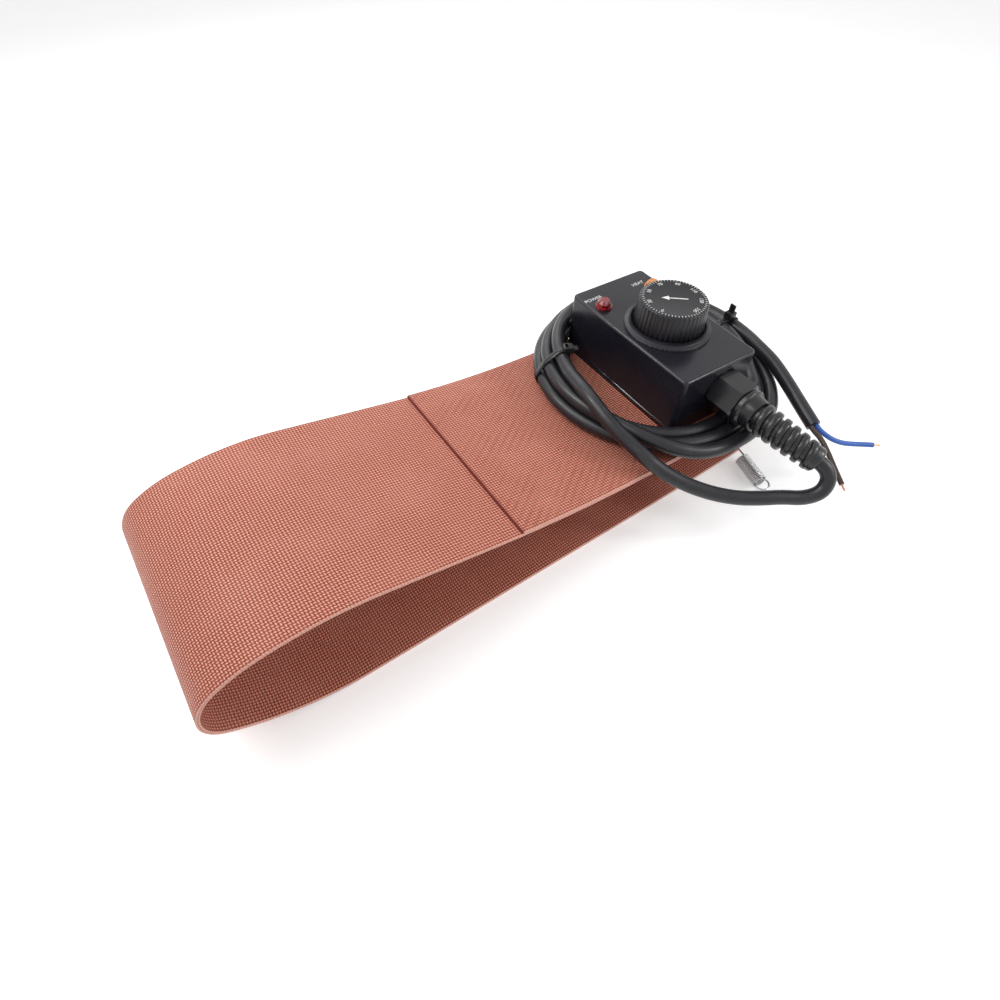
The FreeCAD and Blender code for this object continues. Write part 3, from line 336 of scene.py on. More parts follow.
@dataclass(frozen=True)
class WovenSilicone:
    """Silicone sheet that carries the print of the glass cloth it was pressed on, with painted shade and
    highlights in its colour.
    """

    name: str = "woven_silicone"
    colour: tuple = (0.440, 0.114, 0.064)
    # Painted highlight on the weave's crests.
    crest: tuple = (0.81, 0.405, 0.315)
    # Painted shade in the weave's hollows.
    hollow: tuple = (0.110, 0.016, 0.009)
    shadow: tuple = (0.300, 0.062, 0.034)
    # Painted highlight along the sheets' side edges and rounded ends.
    cut: tuple = (0.76, 0.42, 0.34)
    # Painted shade along the cover sheet's start, where it steps onto the ply.
    seam: tuple = (0.150, 0.014, 0.008)
    pitch: float = 1.35
    depth: float = 0.24
    slant: float = 0.80
    streak: float = 0.08
    streak_pitch: float = 3.6
    streak_lean: tuple = (-0.60, 0.80)
    streak_patch: float = 14.0
    lint_colour: tuple = (0.74, 0.34, 0.26)
    lint_grain: float = 1.6
    blotch_grain: float = 35.0
    sway_grain: float = 7.0
    sway: float = 0.9
    thread_lift: float = 0.55
    thread_play: float = 0.45
    thread_crown: float = 0.8
    ripple_grain: float = 28.0
    ripple_depth: float = 0.5

    def build(self) -> bpy.types.Material:
        """Make the material; it reads the piece's own map, in metres along and across the strap.

        Returns:
            The material.
        """
        graph = ShaderGraph(self.name)
        cloth = graph.tree.nodes.new("ShaderNodeUVMap")
        cloth.uv_map = "cloth"
        wander = graph.noise(self.sway_grain, 3.0, source=cloth.outputs["UV"])
        parts = graph.tree.nodes.new("ShaderNodeSeparateXYZ")
        graph.link(cloth.outputs["UV"], parts.inputs[0])
        sway = graph.math("MULTIPLY", graph.math("SUBTRACT", wander, 0.5), self.sway * MM)
        turns = []
        for axis in (0, 1):
            place = graph.math("ADD", parts.outputs[axis], sway)
            turns.append(graph.math("MULTIPLY", place, math.pi / (self.pitch * MM)))
        waves = [graph.math("COSINE", turn) for turn in turns]
        down = graph.math("COSINE", graph.math("ADD", turns[0], turns[1]))
        up = graph.math("COSINE", graph.math("SUBTRACT", turns[0], turns[1]))
        parity = graph.math("ADD", graph.math("MULTIPLY", down, self.slant),
                            graph.math("MULTIPLY", up, 1.0 - self.slant))
        threads = []
        for wave, play in zip(waves, (self.thread_play, -self.thread_play)):
            lift = graph.math("ADD", graph.math("MULTIPLY", parity, play), self.thread_lift)
            crown = graph.math("POWER", graph.math("ABSOLUTE", wave), self.thread_crown)
            threads.append(graph.math("MULTIPLY", crown, lift))
        weave = graph.math("MAXIMUM", threads[0], threads[1])
        blotch = graph.noise(self.blotch_grain, 4.0)
        lint = graph.noise(self.lint_grain, 2.0)
        # Painted shade in the weave's hollows and a painted highlight on its crests.
        shade = graph.mix(graph.remap(weave, 0.25, 0.62, 0.0, 1.0), self.hollow, self.colour)
        shade = graph.mix(graph.remap(weave, 0.62, 0.98, 0.0, 1.0), shade, self.crest)
        # Random pale patches, tinted with the crest colour.
        shade = graph.mix(graph.remap(blotch, 0.42, 0.75, 0.0, 0.11), shade, self.crest)
        shade = graph.mix(graph.remap(lint, 0.60, 0.85, 0.0, 0.25), shade, self.lint_colour)
        lean = graph.math("ADD", graph.math("MULTIPLY", turns[0], self.streak_lean[0]),
                          graph.math("MULTIPLY", turns[1], self.streak_lean[1]))
        bars = graph.math("SINE", graph.math("MULTIPLY", lean, 2.0 * self.pitch / self.streak_pitch))
        patchy = graph.remap(graph.noise(self.streak_patch, 3.0), 0.40, 0.65, 0.0, self.streak)
        shade = graph.mix(graph.math("MULTIPLY", graph.remap(bars, -0.5, 1.0, 0.0, 1.0), patchy), shade,
                          self.shadow)
        # Painted highlight on side edges and rounded ends where the edge attribute is positive.
        rim = graph.tree.nodes.new("ShaderNodeAttribute")
        rim.attribute_name = "edge_highlight_and_seam_shade"
        shade = graph.mix(graph.remap(rim.outputs["Fac"], 0.2, 1.0, 0.0, 0.75), shade, self.cut)
        # Painted shade at the cover sheet's seam where the edge attribute is negative.
        shade = graph.mix(graph.remap(rim.outputs["Fac"], -0.1, -0.7, 0.0, 1.0), shade, self.seam)
        relief = graph.bump(weave, self.depth, 0.9)
        ripple = graph.bump(graph.noise(self.ripple_grain, 2.0), self.ripple_depth, 0.5, relief)
        graph.shade(Base_Color=shade, Normal=ripple, Roughness=graph.remap(weave, 0.2, 1.0, 0.62, 0.46),
                    Specular_IOR_Level=0.3, Sheen_Weight=0.10, Sheen_Roughness=0.4,
                    Sheen_Tint=(1.0, 0.72, 0.66))
        return graph.material


@dataclass(frozen=True)
class Moulding:
    """Moulded plastic or rubber with a fine grain, slight flow marks and a little dust."""

    name: str
    colour: tuple = (0.0105, 0.0102, 0.0155)
    roughness: float = 0.22
    grain: float = 0.35
    grain_depth: float = 0.02
    dust: float = 0.05
    gloss: float = 0.38
    dust_colour: tuple = (0.20, 0.20, 0.22)
    flow_grain: float = 18.0
    scuff_grain: float = 6.0

    def build(self) -> bpy.types.Material:
        """Make the material on object coordinates.

        Returns:
            The material.
        """
        graph = ShaderGraph(self.name)
        grain = graph.noise(self.grain, 2.0)
        flow = graph.noise(self.flow_grain, 3.0)
        scuffs = graph.noise(self.scuff_grain, 4.0, (0.25, 4.0, 1.0))
        pale = tuple(min(1.0, value * 1.4 + 0.010) for value in self.colour)
        shade = graph.mix(graph.remap(flow, 0.35, 0.75, 0.0, 0.35), self.colour, pale)
        shade = graph.mix(graph.remap(scuffs, 0.66, 0.84, 0.0, self.dust), shade, self.dust_colour)
        rough = graph.math("ADD", graph.remap(flow, 0.3, 0.7, -0.05, 0.06),
                           graph.remap(scuffs, 0.62, 0.8, self.roughness, self.roughness + 0.12))
        graph.shade(Base_Color=shade, Roughness=rough, Specular_IOR_Level=self.gloss,
                    Normal=graph.bump(grain, self.grain_depth, 0.6))
        return graph.material


@dataclass(frozen=True)
class CableSheath:
    """Extruded rubber sheath: satin, with faint rub marks and talc in its grain."""

    name: str = "cable_sheath"
    colour: tuple = (0.013, 0.013, 0.016)
    roughness: float = 0.32
    gloss: float = 0.40
    rubbed: tuple = (0.034, 0.034, 0.038)
    rub_grain: float = 9.0
    talc: tuple = (0.26, 0.26, 0.27)
    talc_grain: float = 0.9

    def build(self) -> bpy.types.Material:
        """Make the material on object coordinates.

        Returns:
            The material.
        """
        graph = ShaderGraph(self.name)
        talc = graph.noise(self.talc_grain, 3.0)
        rub = graph.noise(self.rub_grain, 3.0)
        shade = graph.mix(graph.remap(rub, 0.45, 0.78, 0.0, 0.55), self.colour, self.rubbed)
        shade = graph.mix(graph.remap(talc, 0.62, 0.85, 0.0, 0.16), shade, self.talc)
        rough = graph.remap(rub, 0.3, 0.7, self.roughness + 0.06, self.roughness - 0.06)
        graph.shade(Base_Color=shade, Specular_IOR_Level=self.gloss, Roughness=rough,
                    Normal=graph.bump(talc, 0.03, 0.5))
        return graph.material


@dataclass(frozen=True)
class BrightMetal:
    """Plated, drawn or turned metal with fine draw marks and slight tarnish."""

    name: str
    colour: tuple = (0.66, 0.65, 0.62)
    tarnish: tuple = (0.34, 0.31, 0.27)
    roughness: float = 0.24
    mark_grain: float = 0.5
    patch_grain: float = 9.0

    def build(self) -> bpy.types.Material:
        """Make the material on object coordinates.

        Returns:
            The material.
        """
        graph = ShaderGraph(self.name)
        marks = graph.noise(self.mark_grain, 2.0, (0.3, 0.3, 3.0))
        patches = graph.noise(self.patch_grain, 3.0)
        shade = graph.mix(graph.remap(patches, 0.5, 0.8, 0.0, 0.5), self.colour, self.tarnish)
        graph.shade(Base_Color=shade, Metallic=1.0, Normal=graph.bump(marks, 0.004, 0.25),
                    Roughness=graph.remap(patches, 0.3, 0.8, self.roughness, self.roughness + 0.2))
        return graph.material


@dataclass(frozen=True)
class TintedLens:
    """Clear tinted plastic of a neon lamp's lens, with a little subsurface scattering."""

    name: str
    colour: tuple
    depth: tuple
    streak_grain: float = 1.1

    def build(self) -> bpy.types.Material:
        """Make the material on object coordinates.

        Returns:
            The material.
        """
        graph = ShaderGraph(self.name)
        streaks = graph.noise(self.streak_grain, 2.0)
        shade = graph.mix(graph.remap(streaks, 0.4, 0.65, 0.0, 1.0), self.depth, self.colour)
        graph.shade(Base_Color=shade, Roughness=0.12, Coat_Weight=0.6, Coat_Roughness=0.05,
                    Subsurface_Weight=0.3, Subsurface_Scale=1.5 * MM,
                    Normal=graph.bump(streaks, 0.05, 0.3))
        return graph.material


@dataclass(frozen=True)
class PrintInk:
    """White pad-printed marks, a little worn."""

    name: str = "print_ink"
    colour: tuple = (0.80, 0.80, 0.78)
    worn: tuple = (0.30, 0.30, 0.30)
    wear_grain: float = 0.7

    def build(self) -> bpy.types.Material:
        """Make the material on object coordinates.

        Returns:
            The material.
        """
        graph = ShaderGraph(self.name)
        wear = graph.noise(self.wear_grain, 3.0)
        shade = graph.mix(graph.remap(wear, 0.55, 0.75, 0.0, 0.5), self.colour, self.worn)
        graph.shade(Base_Color=shade, Roughness=0.6)
        return graph.material


# Mesh helpers


def swept_ring(rings: list[list[Vector]], name: str, closed: bool = False) -> bpy.types.Mesh:
    """Skin a row of equal loops into a closed mesh.

    Args:
        rings: Loops of points in metres, all with the same count.
        name: The mesh's name.
        closed: Whether the last loop joins the first; otherwise both ends are capped.

    Returns:
        The mesh, with its normals outward.
    """
    work = bmesh.new()
    rows = [[work.verts.new(point) for point in ring] for ring in rings]
    pairs = list(zip(rows, rows[1:])) + ([(rows[-1], rows[0])] if closed else [])
    for first, second in pairs:
        for index in range(len(first)):
            after = (index + 1) % len(first)
            work.faces.new((first[index], first[after], second[after], second[index]))
    if not closed:
        work.faces.new(list(reversed(rows[0])))
        work.faces.new(rows[-1])
    return finished(work, name)


def finished(work: bmesh.types.BMesh, name: str) -> bpy.types.Mesh:
    """Turn normals outward and write a mesh.

    Args:
        work: The bmesh, which is freed.
        name: The mesh's name.

    Returns:
        The mesh.
    """
    bmesh.ops.recalc_face_normals(work, faces=work.faces)
    mesh = bpy.data.meshes.new(name)
    work.to_mesh(mesh)
    work.free()
    return mesh


def lathe(profile: list[tuple[float, float]], count: int, name: str) -> bpy.types.Mesh:
    """Turn a closed profile of (radius, height) in millimetres round Z.

    Args:
        profile: The section's corners, in order.
        count: Steps round the turn.
        name: The mesh's name.

    Returns:
        The mesh, in metres.
    """
    rings = []
    for step in range(count):
        angle = math.tau * step / count
        rings.append([Vector((r * math.cos(angle), r * math.sin(angle), z)) * MM for r, z in profile])
    return swept_ring(rings, name, closed=True)


def block(size: Vector, centre: Vector, bevel: float, name: str, segments: int = 2) -> bpy.types.Mesh:
    """A box in millimetres with rounded edges.

    Args:
        size: Its sides.
        centre: Its middle.
        bevel: The rounding's width.
        name: The mesh's name.
        segments: Steps across the rounding.

    Returns:
        The mesh, in metres.
    """
    work = bmesh.new()
    bmesh.ops.create_cube(work, size=1.0)
    bmesh.ops.scale(work, vec=size * MM, verts=work.verts)
    bmesh.ops.bevel(work, geom=work.edges[:], offset=bevel * MM, segments=segments, profile=0.5,
                    affect="EDGES")
    bmesh.ops.translate(work, vec=centre * MM, verts=work.verts)
    return finished(work, name)


def moved(mesh: bpy.types.Mesh, matrix: Matrix) -> bpy.types.Mesh:
    """Carry a mesh by a matrix in metres.

    Args:
        mesh: The mesh, which is changed.
        matrix: Where it goes.

    Returns:
        The same mesh.
    """
    mesh.transform(matrix)
    if matrix.determinant() < 0:
        mesh.flip_normals()
    return mesh


def joined(meshes: list[bpy.types.Mesh], name: str) -> bpy.types.Mesh:
    """Put several meshes into one, each keeping its own material.

    Args:
        meshes: The meshes, which are left as they are.
        name: The new mesh's name.

    Returns:
        The new mesh.
    """
    materials: list[bpy.types.Material | None] = []
    work = bmesh.new()
    for mesh in meshes:
        own = list(mesh.materials) or [None]
        base = len(materials)
        materials.extend(own)
        start = len(work.faces)
        work.from_mesh(mesh)
        work.faces.ensure_lookup_table()
        for face in work.faces[start:]:
            face.material_index += base
    whole = bpy.data.meshes.new(name)
    work.to_mesh(whole)
    work.free()
    for material in materials:
        whole.materials.append(material)
    return whole


def smooth(mesh: bpy.types.Mesh, angle: float = 35.0) -> bpy.types.Mesh:
    """Shade smooth, but for the edges sharper than an angle in degrees.

    Args:
        mesh: The mesh, which is changed.
        angle: The least turn of a sharp edge.

    Returns:
        The same mesh.
    """
    mesh.polygons.foreach_set("use_smooth", [True] * len(mesh.polygons))
    mesh.set_sharp_from_angle(angle=math.radians(angle))
    return mesh


def placed(mesh: bpy.types.Mesh, body: Body, material: bpy.types.Material | None = None,
           ) -> bpy.types.Object:
    """Stand a mesh in the scene on a body of the frame.

    Args:
        mesh: The finished mesh, in the frame's metres.
        body: The body it moves with.
        material: Its only material, or none when the mesh carries its own.

    Returns:
        The object.
    """
    if material is not None:
        mesh.materials.clear()
        mesh.materials.append(material)
    piece = bpy.data.objects.new(mesh.name.split(".")[0], mesh)
    bpy.context.scene.collection.objects.link(piece)
    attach(piece, body.value)
    LOG.info("%s on %s: %d faces", piece.name, body.value, len(mesh.polygons))
    return piece


def route_mesh(points: list[Vector], diameter: float, name: str, facets: int = 3,
               steps: int = 8) -> bpy.types.Mesh:
    """A round bar along a smooth line through millimetre control points.

    Args:
        points: The control points.
        diameter: The bar's, in millimetres.
        name: The mesh's name.
        facets: Roundness of the section.
        steps: Steps between control points.

    Returns:
        The mesh, in metres.
    """
    curve = nurbs(points, name, steps)
    curve.bevel_depth = diameter / 2 * MM
    curve.bevel_resolution = facets
    curve.use_fill_caps = True
    return evaluated(curve, name)


def nurbs(points: list[Vector], name: str, steps: int = 8) -> bpy.types.Curve:
    """A smooth open spline with these millimetre points as its control points.

    Args:
        points: The control points.
        name: The curve's name.
        steps: Steps between control points.

    Returns:
        The curve, in metres, with no bevel.
    """
    curve = bpy.data.curves.new(name, "CURVE")
    curve.dimensions = "3D"
    curve.resolution_u = steps
    spline = curve.splines.new("NURBS")
    spline.points.add(len(points) - 1)
    for control, point in zip(spline.points, points):
        control.co = (*(point * MM), 1.0)
    spline.order_u = 3
    spline.use_endpoint_u = True
    return curve


def evaluated(data: bpy.types.ID, name: str, cutter: bpy.types.Mesh | None = None) -> bpy.types.Mesh:
    """The plain mesh of a curve, text or mesh, with a cutter taken out of it if one is given.

    Args:
        data: The curve, text or mesh.
        name: The mesh's name.
        cutter: A closed mesh to take away.

    Returns:
        The mesh.
    """
    holder = bpy.data.objects.new(name, data)
    bpy.context.scene.collection.objects.link(holder)
    tool = None
    if cutter is not None:
        tool = bpy.data.objects.new(name + "_cutter", cutter)
        bpy.context.scene.collection.objects.link(tool)
        modifier = holder.modifiers.new("cut", "BOOLEAN")
        modifier.operation = "DIFFERENCE"
        modifier.solver = "EXACT"
        modifier.object = tool
    graph = bpy.context.evaluated_depsgraph_get()
    mesh = bpy.data.meshes.new_from_object(holder.evaluated_get(graph))
    mesh.name = name
    for thing in filter(None, (holder, tool)):
        bpy.data.objects.remove(thing)
    return mesh


def smooth_copy(source: bpy.types.Object, angle: float = 35.0) -> bpy.types.Mesh:
    """A merged copy of a CAD node's mesh, with flat faces kept flat and its rounds shaded smooth.

    Args:
        source: The CAD node's object, which is left alone.
        angle: The least turn of a sharp edge.

    Returns:
        The dressed mesh.
    """
    work = bmesh.new()
    work.from_mesh(source.data)
    bmesh.ops.remove_doubles(work, verts=work.verts, dist=1e-6)
    name = source.name + "_dressed"
    holder = bpy.data.objects.new(name, smooth(finished(work, name), angle))
    bpy.context.scene.collection.objects.link(holder)
    holder.modifiers.new("flat", "WEIGHTED_NORMAL").keep_sharp = True
    graph = bpy.context.evaluated_depsgraph_get()
    mesh = bpy.data.meshes.new_from_object(holder.evaluated_get(graph))
    bpy.data.objects.remove(holder)
    mesh.name = name
    return mesh


# The strap


@dataclass(frozen=True)
class StrapLine:
    """The strap's lie from its free end round the fold to the box end.

    Each stretch is a bend's radius in millimetres and its turn in degrees, or a radius of zero and
    a straight run's length.
    """

    stretches: tuple = ((1345.0, 3.7), (0.0, 137.7), (91.5, 38.0), (16.0, 52.0), (21.2, 63.0),
                        (57.0, 19.0), (130.0, 20.8), (0.0, 51.5), (-536.0, 9.73), (0.0, 77.1))
    flat_end: float = 58.0

    def extent(self, radius: float, value: float) -> float:
        """One stretch's length."""
        return abs(radius) * math.radians(value) if radius else value

    @property
    def length(self) -> float:
        """The whole strap's length."""
        return sum(self.extent(radius, value) for radius, value in self.stretches)

    def pose(self, station: float) -> tuple[float, float, float]:
        """Place and heading of the outer face at a distance from the free end.

        Args:
            station: Millimetres from the free end.

        Returns:
            X, Z and the heading in radians.
        """
        radius, turn = self.stretches[0]
        lift = math.radians(turn)
        x = self.flat_end + radius * math.sin(lift)
        z = radius * (1 - math.cos(lift))
        heading = math.pi + lift
        for radius, value in self.stretches:
            step = min(station, self.extent(radius, value))
            if radius:
                x += radius * math.sin(heading)
                z -= radius * math.cos(heading)
                heading -= step / radius
                x -= radius * math.sin(heading)
                z += radius * math.cos(heading)
            else:
                x += step * math.cos(heading)
                z += step * math.sin(heading)
            station -= step
            if station <= 0.0:
                break
        return x, z, heading

    def point(self, station: float, depth: float, y: float) -> Vector:
        """A point under the outer face, towards the loop's inside."""
        x, z, heading = self.pose(station)
        return Vector((x + depth * math.sin(heading), y, z - depth * math.cos(heading)))

    def frame(self, station: float, depth: float, y: float) -> Matrix:
        """A place on the strap with X along it and Z upward, in metres.

        Args:
            station: Millimetres from the free end.
            depth: Millimetres under the outer face.
            y: Place across the strap.

        Returns:
            The place, in metres.
        """
        heading = self.pose(station)[2]
        if math.cos(heading) < 0:
            heading -= math.pi
        turn = Matrix.Rotation(-heading, 4, "Y")
        return Matrix.Translation(self.point(station, depth, y) * MM) @ turn


@dataclass
class Strap:
    """Two silicone plies round the foil, the cover sheet at the box end, and the eyelets."""

    line: StrapLine
    width: float = 100.0
    ply: float = 0.9
    cover: float = 1.2
    cover_setback: float = 154.5
    corner: float = 6.0
    edge: float = 0.38
    hole: float = 2.55
    pin_reach: float = 6.0
    pin_core: float = 0.01
    eyelet_inset: float = 6.0
    eyelet_roll: tuple = ((2.20, 0.04), (2.28, 0.24), (2.60, 0.36), (3.10, 0.37), (3.62, 0.30),
                          (3.92, 0.17), (3.99, 0.03), (2.54, 0.01))
    end_steps: tuple = (0.0, 0.12, 0.38, 0.9, 1.7, 2.7, 4.0, 5.6)
    spacing: float = 2.4
    strips: int = 26
    fullest: float = 0.48
    finish: WovenSilicone = WovenSilicone()
    cover_finish: WovenSilicone = WovenSilicone("cover_silicone", streak=0.45)

    def half_width(self, from_end: float) -> float:
        """Half the strap's width near a rounded end.

        Args:
            from_end: Millimetres from the rounded end.

        Returns:
            Half the width there.
        """
        if from_end >= self.corner:
            return self.width / 2
        rest = self.corner - from_end
        return self.width / 2 - self.corner + math.sqrt(self.corner ** 2 - rest ** 2)

    def stations(self, start: float, end: float) -> list[float]:
        """Where the sheet's sections stand, closer together at its ends.

        Args:
            start: Where the sheet begins.
            end: Where it ends.

        Returns:
            The sections' stations.
        """
        near = self.end_steps
        count = round((end - start - 2 * near[-1]) / self.spacing)
        pitch = (end - start - 2 * near[-1]) / count
        middle = [start + near[-1] + index * pitch for index in range(1, count)]
        return [start + value for value in near] + middle + [end - value for value in reversed(near)]

    def section(self, half: float, top: float, bottom: float, inset: float) -> list[tuple]:
        """A sheet's section as (y, depth, whether on the cut edge, which gets a painted highlight), with
        rounded edges.

        Args:
            half: Half the sheet's width.
            top: Depth of its upper face.
            bottom: Depth of its lower face.
            inset: How far the end's rounding pulls in.

        Returns:
            The ring's points.
        """
        round_off = min(self.edge, self.fullest * (bottom - top))
        half -= inset
        top += inset
        bottom -= inset
        soft = max(min(round_off, self.fullest * (bottom - top)), 0.02)
        rows = [(-half + soft + index * 2 * (half - soft) / self.strips, top, 0.0)
                for index in range(self.strips + 1)]
        ring = list(rows)
        for centre, angles in ((top + soft, (60, 30, 0)), (bottom - soft, (0, -30, -60))):
            for angle in angles:
                turn = math.radians(angle)
                ring.append((half - soft + soft * math.cos(turn), centre - soft * math.sin(turn), 1.0))
        ring += [(y, bottom, 0.0) for y, _, _ in reversed(rows)]
        for centre, angles in ((bottom - soft, (-60, -30, 0)), (top + soft, (0, 30, 60))):
            for angle in angles:
                turn = math.radians(angle)
                ring.append((-half + soft - soft * math.cos(turn), centre - soft * math.sin(turn), 1.0))
        return ring

    def sheet(self, name: str, top: float, bottom: float, start: float, rounded_start: bool,
              ) -> bpy.types.Mesh:
        """One layer of the strap as a closed mesh with its cloth map.

        Args:
            name: The mesh's name.
            top: Depth of its upper face under the strap's outer face.
            bottom: Depth of its lower face.
            start: The station it starts at; it ends with the strap.
            rounded_start: Whether its corners there are rounded.

        Returns:
            The mesh, with eyelet holes cut.
        """
        end = self.line.length
        rings, cloth, cut = [], [], []
        for station in self.stations(start, end):
            from_start, from_end = station - start, end - station
            half = self.half_width(from_end)
            if rounded_start:
                half = min(half, self.half_width(from_start))
            near = min(from_start, from_end, self.edge)
            inset = self.edge - math.sqrt(self.edge ** 2 - (self.edge - near) ** 2)
            ring = self.section(half, top, bottom, inset)
            # Edge attribute: 1 paints a highlight on rounded ends and side edges, -1 paints shade at the
            # cover sheet's start.
            end_painted_light = 1.0 if near < self.edge else 0.0
            if not rounded_start and from_start < 0.5:
                end_painted_light = -1.0
            rings.append([self.line.point(station, depth, y) * MM for y, depth, _ in ring])
            cloth += [(station * MM, y * MM) for y, _, _ in ring]
            cut += [end_painted_light or on_edge for _, _, on_edge in ring]
        mesh = swept_ring(rings, name)
        layer = mesh.uv_layers.new(name="cloth")
        for loop in mesh.loops:
            layer.data[loop.index].uv = cloth[loop.vertex_index]
        mesh.attributes.new("edge_highlight_and_seam_shade", "FLOAT", "POINT").data.foreach_set("value", cut)
        return smooth(evaluated(mesh, name, self.hole_cutter()), 50.0)

    def eyelet_frames(self) -> list[tuple[Matrix, float, float]]:
        """Each eyelet's place and the lowest and highest face it grips, in its own frame.

        Returns:
            The places and faces, one row for each eyelet.
        """
        places = []
        for station, low, high in ((self.eyelet_inset, 0.0, 2 * self.ply),
                                   (self.line.length - self.eyelet_inset, -2 * self.ply, self.cover)):
            for side in (-1, 1):
                y = side * (self.width / 2 - self.eyelet_inset)
                places.append((self.line.frame(station, 0.0, y), low, high))
        return places

    def hole_cutter(self) -> bpy.types.Mesh:
        """Pins that cut the eyelets' holes.

        Returns:
            The closed pins as one mesh.
        """
        pins = []
        for frame, _, _ in self.eyelet_frames():
            profile = [(radius, height) for radius, height in (
                (self.pin_core, -self.pin_reach), (self.hole, -self.pin_reach),
                (self.hole, self.pin_reach), (self.pin_core, self.pin_reach))]
            pins.append(moved(lathe(profile, 32, "pin"), frame))
        return joined(pins, "pins")

    def eyelet(self, low: float, high: float) -> bpy.types.Mesh:
        """A rolled eyelet round Z that grips from low to high.

        Args:
            low: Height of the lower face.
            high: Height of the upper face.

        Returns:
            The eyelet's mesh.
        """
        profile = [(radius, high + rise) for radius, rise in self.eyelet_roll]
        profile += [(radius, low - rise) for radius, rise in reversed(self.eyelet_roll)]
        return smooth(lathe(profile, 48, "eyelet"), 60.0)

    def build(self) -> None:
        """Make the plies, the cover sheet and the eyelets."""
        silicone = self.finish.build()
        cover = self.cover_finish.build()
        end = self.line.length
        layers = (("ply_outer", "heater_outer_ply", 0.0, self.ply, 0.0, True),
                  ("ply_inner", "heater_inner_ply", self.ply, 2 * self.ply, 0.0, True),
                  ("cover_sheet", "terminal_cover", -self.cover, 0.0, end - self.cover_setback, False))
        for name, node, top, bottom, start, rounded in layers:
            mesh = self.sheet(name, top, bottom, start, rounded)
            finish = silicone if rounded else cover
            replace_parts(placed(mesh, Body.STRAP, finish), node)
        metal = BrightMetal("eyelet_metal").build()
        pieces = [moved(self.eyelet(low, high), frame) for frame, low, high in self.eyelet_frames()]
        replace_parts(placed(joined(pieces, "eyelet_set"), Body.STRAP, metal), "eyelets")
        LOG.info("strap: %.1f mm long", end)


# The thermostat box


@dataclass
class ThermostatBox:
    """The moulded box with its dial ring, gland body and printed labels, which stand by its lamps."""

    frame: Matrix
    height: float = 32.3
    lamp_spread: float = 16.5
    lamp_y: float = 24.9
    label_size: float = 3.1
    power_offset: tuple = (-0.7, 7.4)
    heat_offset: tuple = (-4.2, 6.6)
    moulded_edge: float = 35.0
    nut_edge: float = 12.0

    def label(self, text: str, x: float, y: float) -> bpy.types.Mesh:
        """A printed word on the panel."""
        return moved(print_mesh(text, self.label_size, Vector((x, y, self.height)), 0.0), self.frame)

    def build(self, nodes: dict[str, bpy.types.Object]) -> None:
        """Dress the mouldings and add the print.

        Args:
            nodes: The frame's CAD nodes by name.
        """
        shell = Moulding("box_plastic").build()
        nylon = Moulding("gland_nylon", (0.009, 0.009, 0.011), 0.22, gloss=0.5).build()
        for node, slot, finish in (
                ("box_housing", Slot.BOX, shell), ("box_base", Slot.BOX, shell),
                ("dial_ring", Slot.RING, Moulding("ring_plastic", roughness=0.32).build()),
                ("gland_body", Slot.GLAND, nylon)):
            edge = self.nut_edge if node == "gland_body" else self.moulded_edge
            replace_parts(placed(smooth_copy(nodes[node], edge), Body.STRAP, finish), node)
        words = [self.label(word, side * self.lamp_spread + across, self.lamp_y + up)
                 for word, side, (across, up) in (("POWER", -1, self.power_offset),
                                                  ("HEAT", 1, self.heat_offset))]
        placed(joined(words, "panel_print"), Body.STRAP, PrintInk().build())


def print_mesh(text: str, size: float, place: Vector, turn: float) -> bpy.types.Mesh:
    """A word a hair proud of a face.

    Args:
        text: The word or number.
        size: Letter height in millimetres.
        place: Its middle, in millimetres.
        turn: Turn round Z in degrees.

    Returns:
        The word's mesh in metres.
    """
    letters = bpy.data.curves.new("letters", "FONT")
    letters.body = text
    letters.size = size * MM
    letters.align_x = "CENTER"
    letters.align_y = "CENTER"
    letters.extrude = 0.02 * MM
    mesh = evaluated(letters, "print")
    return moved(mesh, Matrix.Translation(place * MM) @ Matrix.Rotation(math.radians(turn), 4, "Z"))


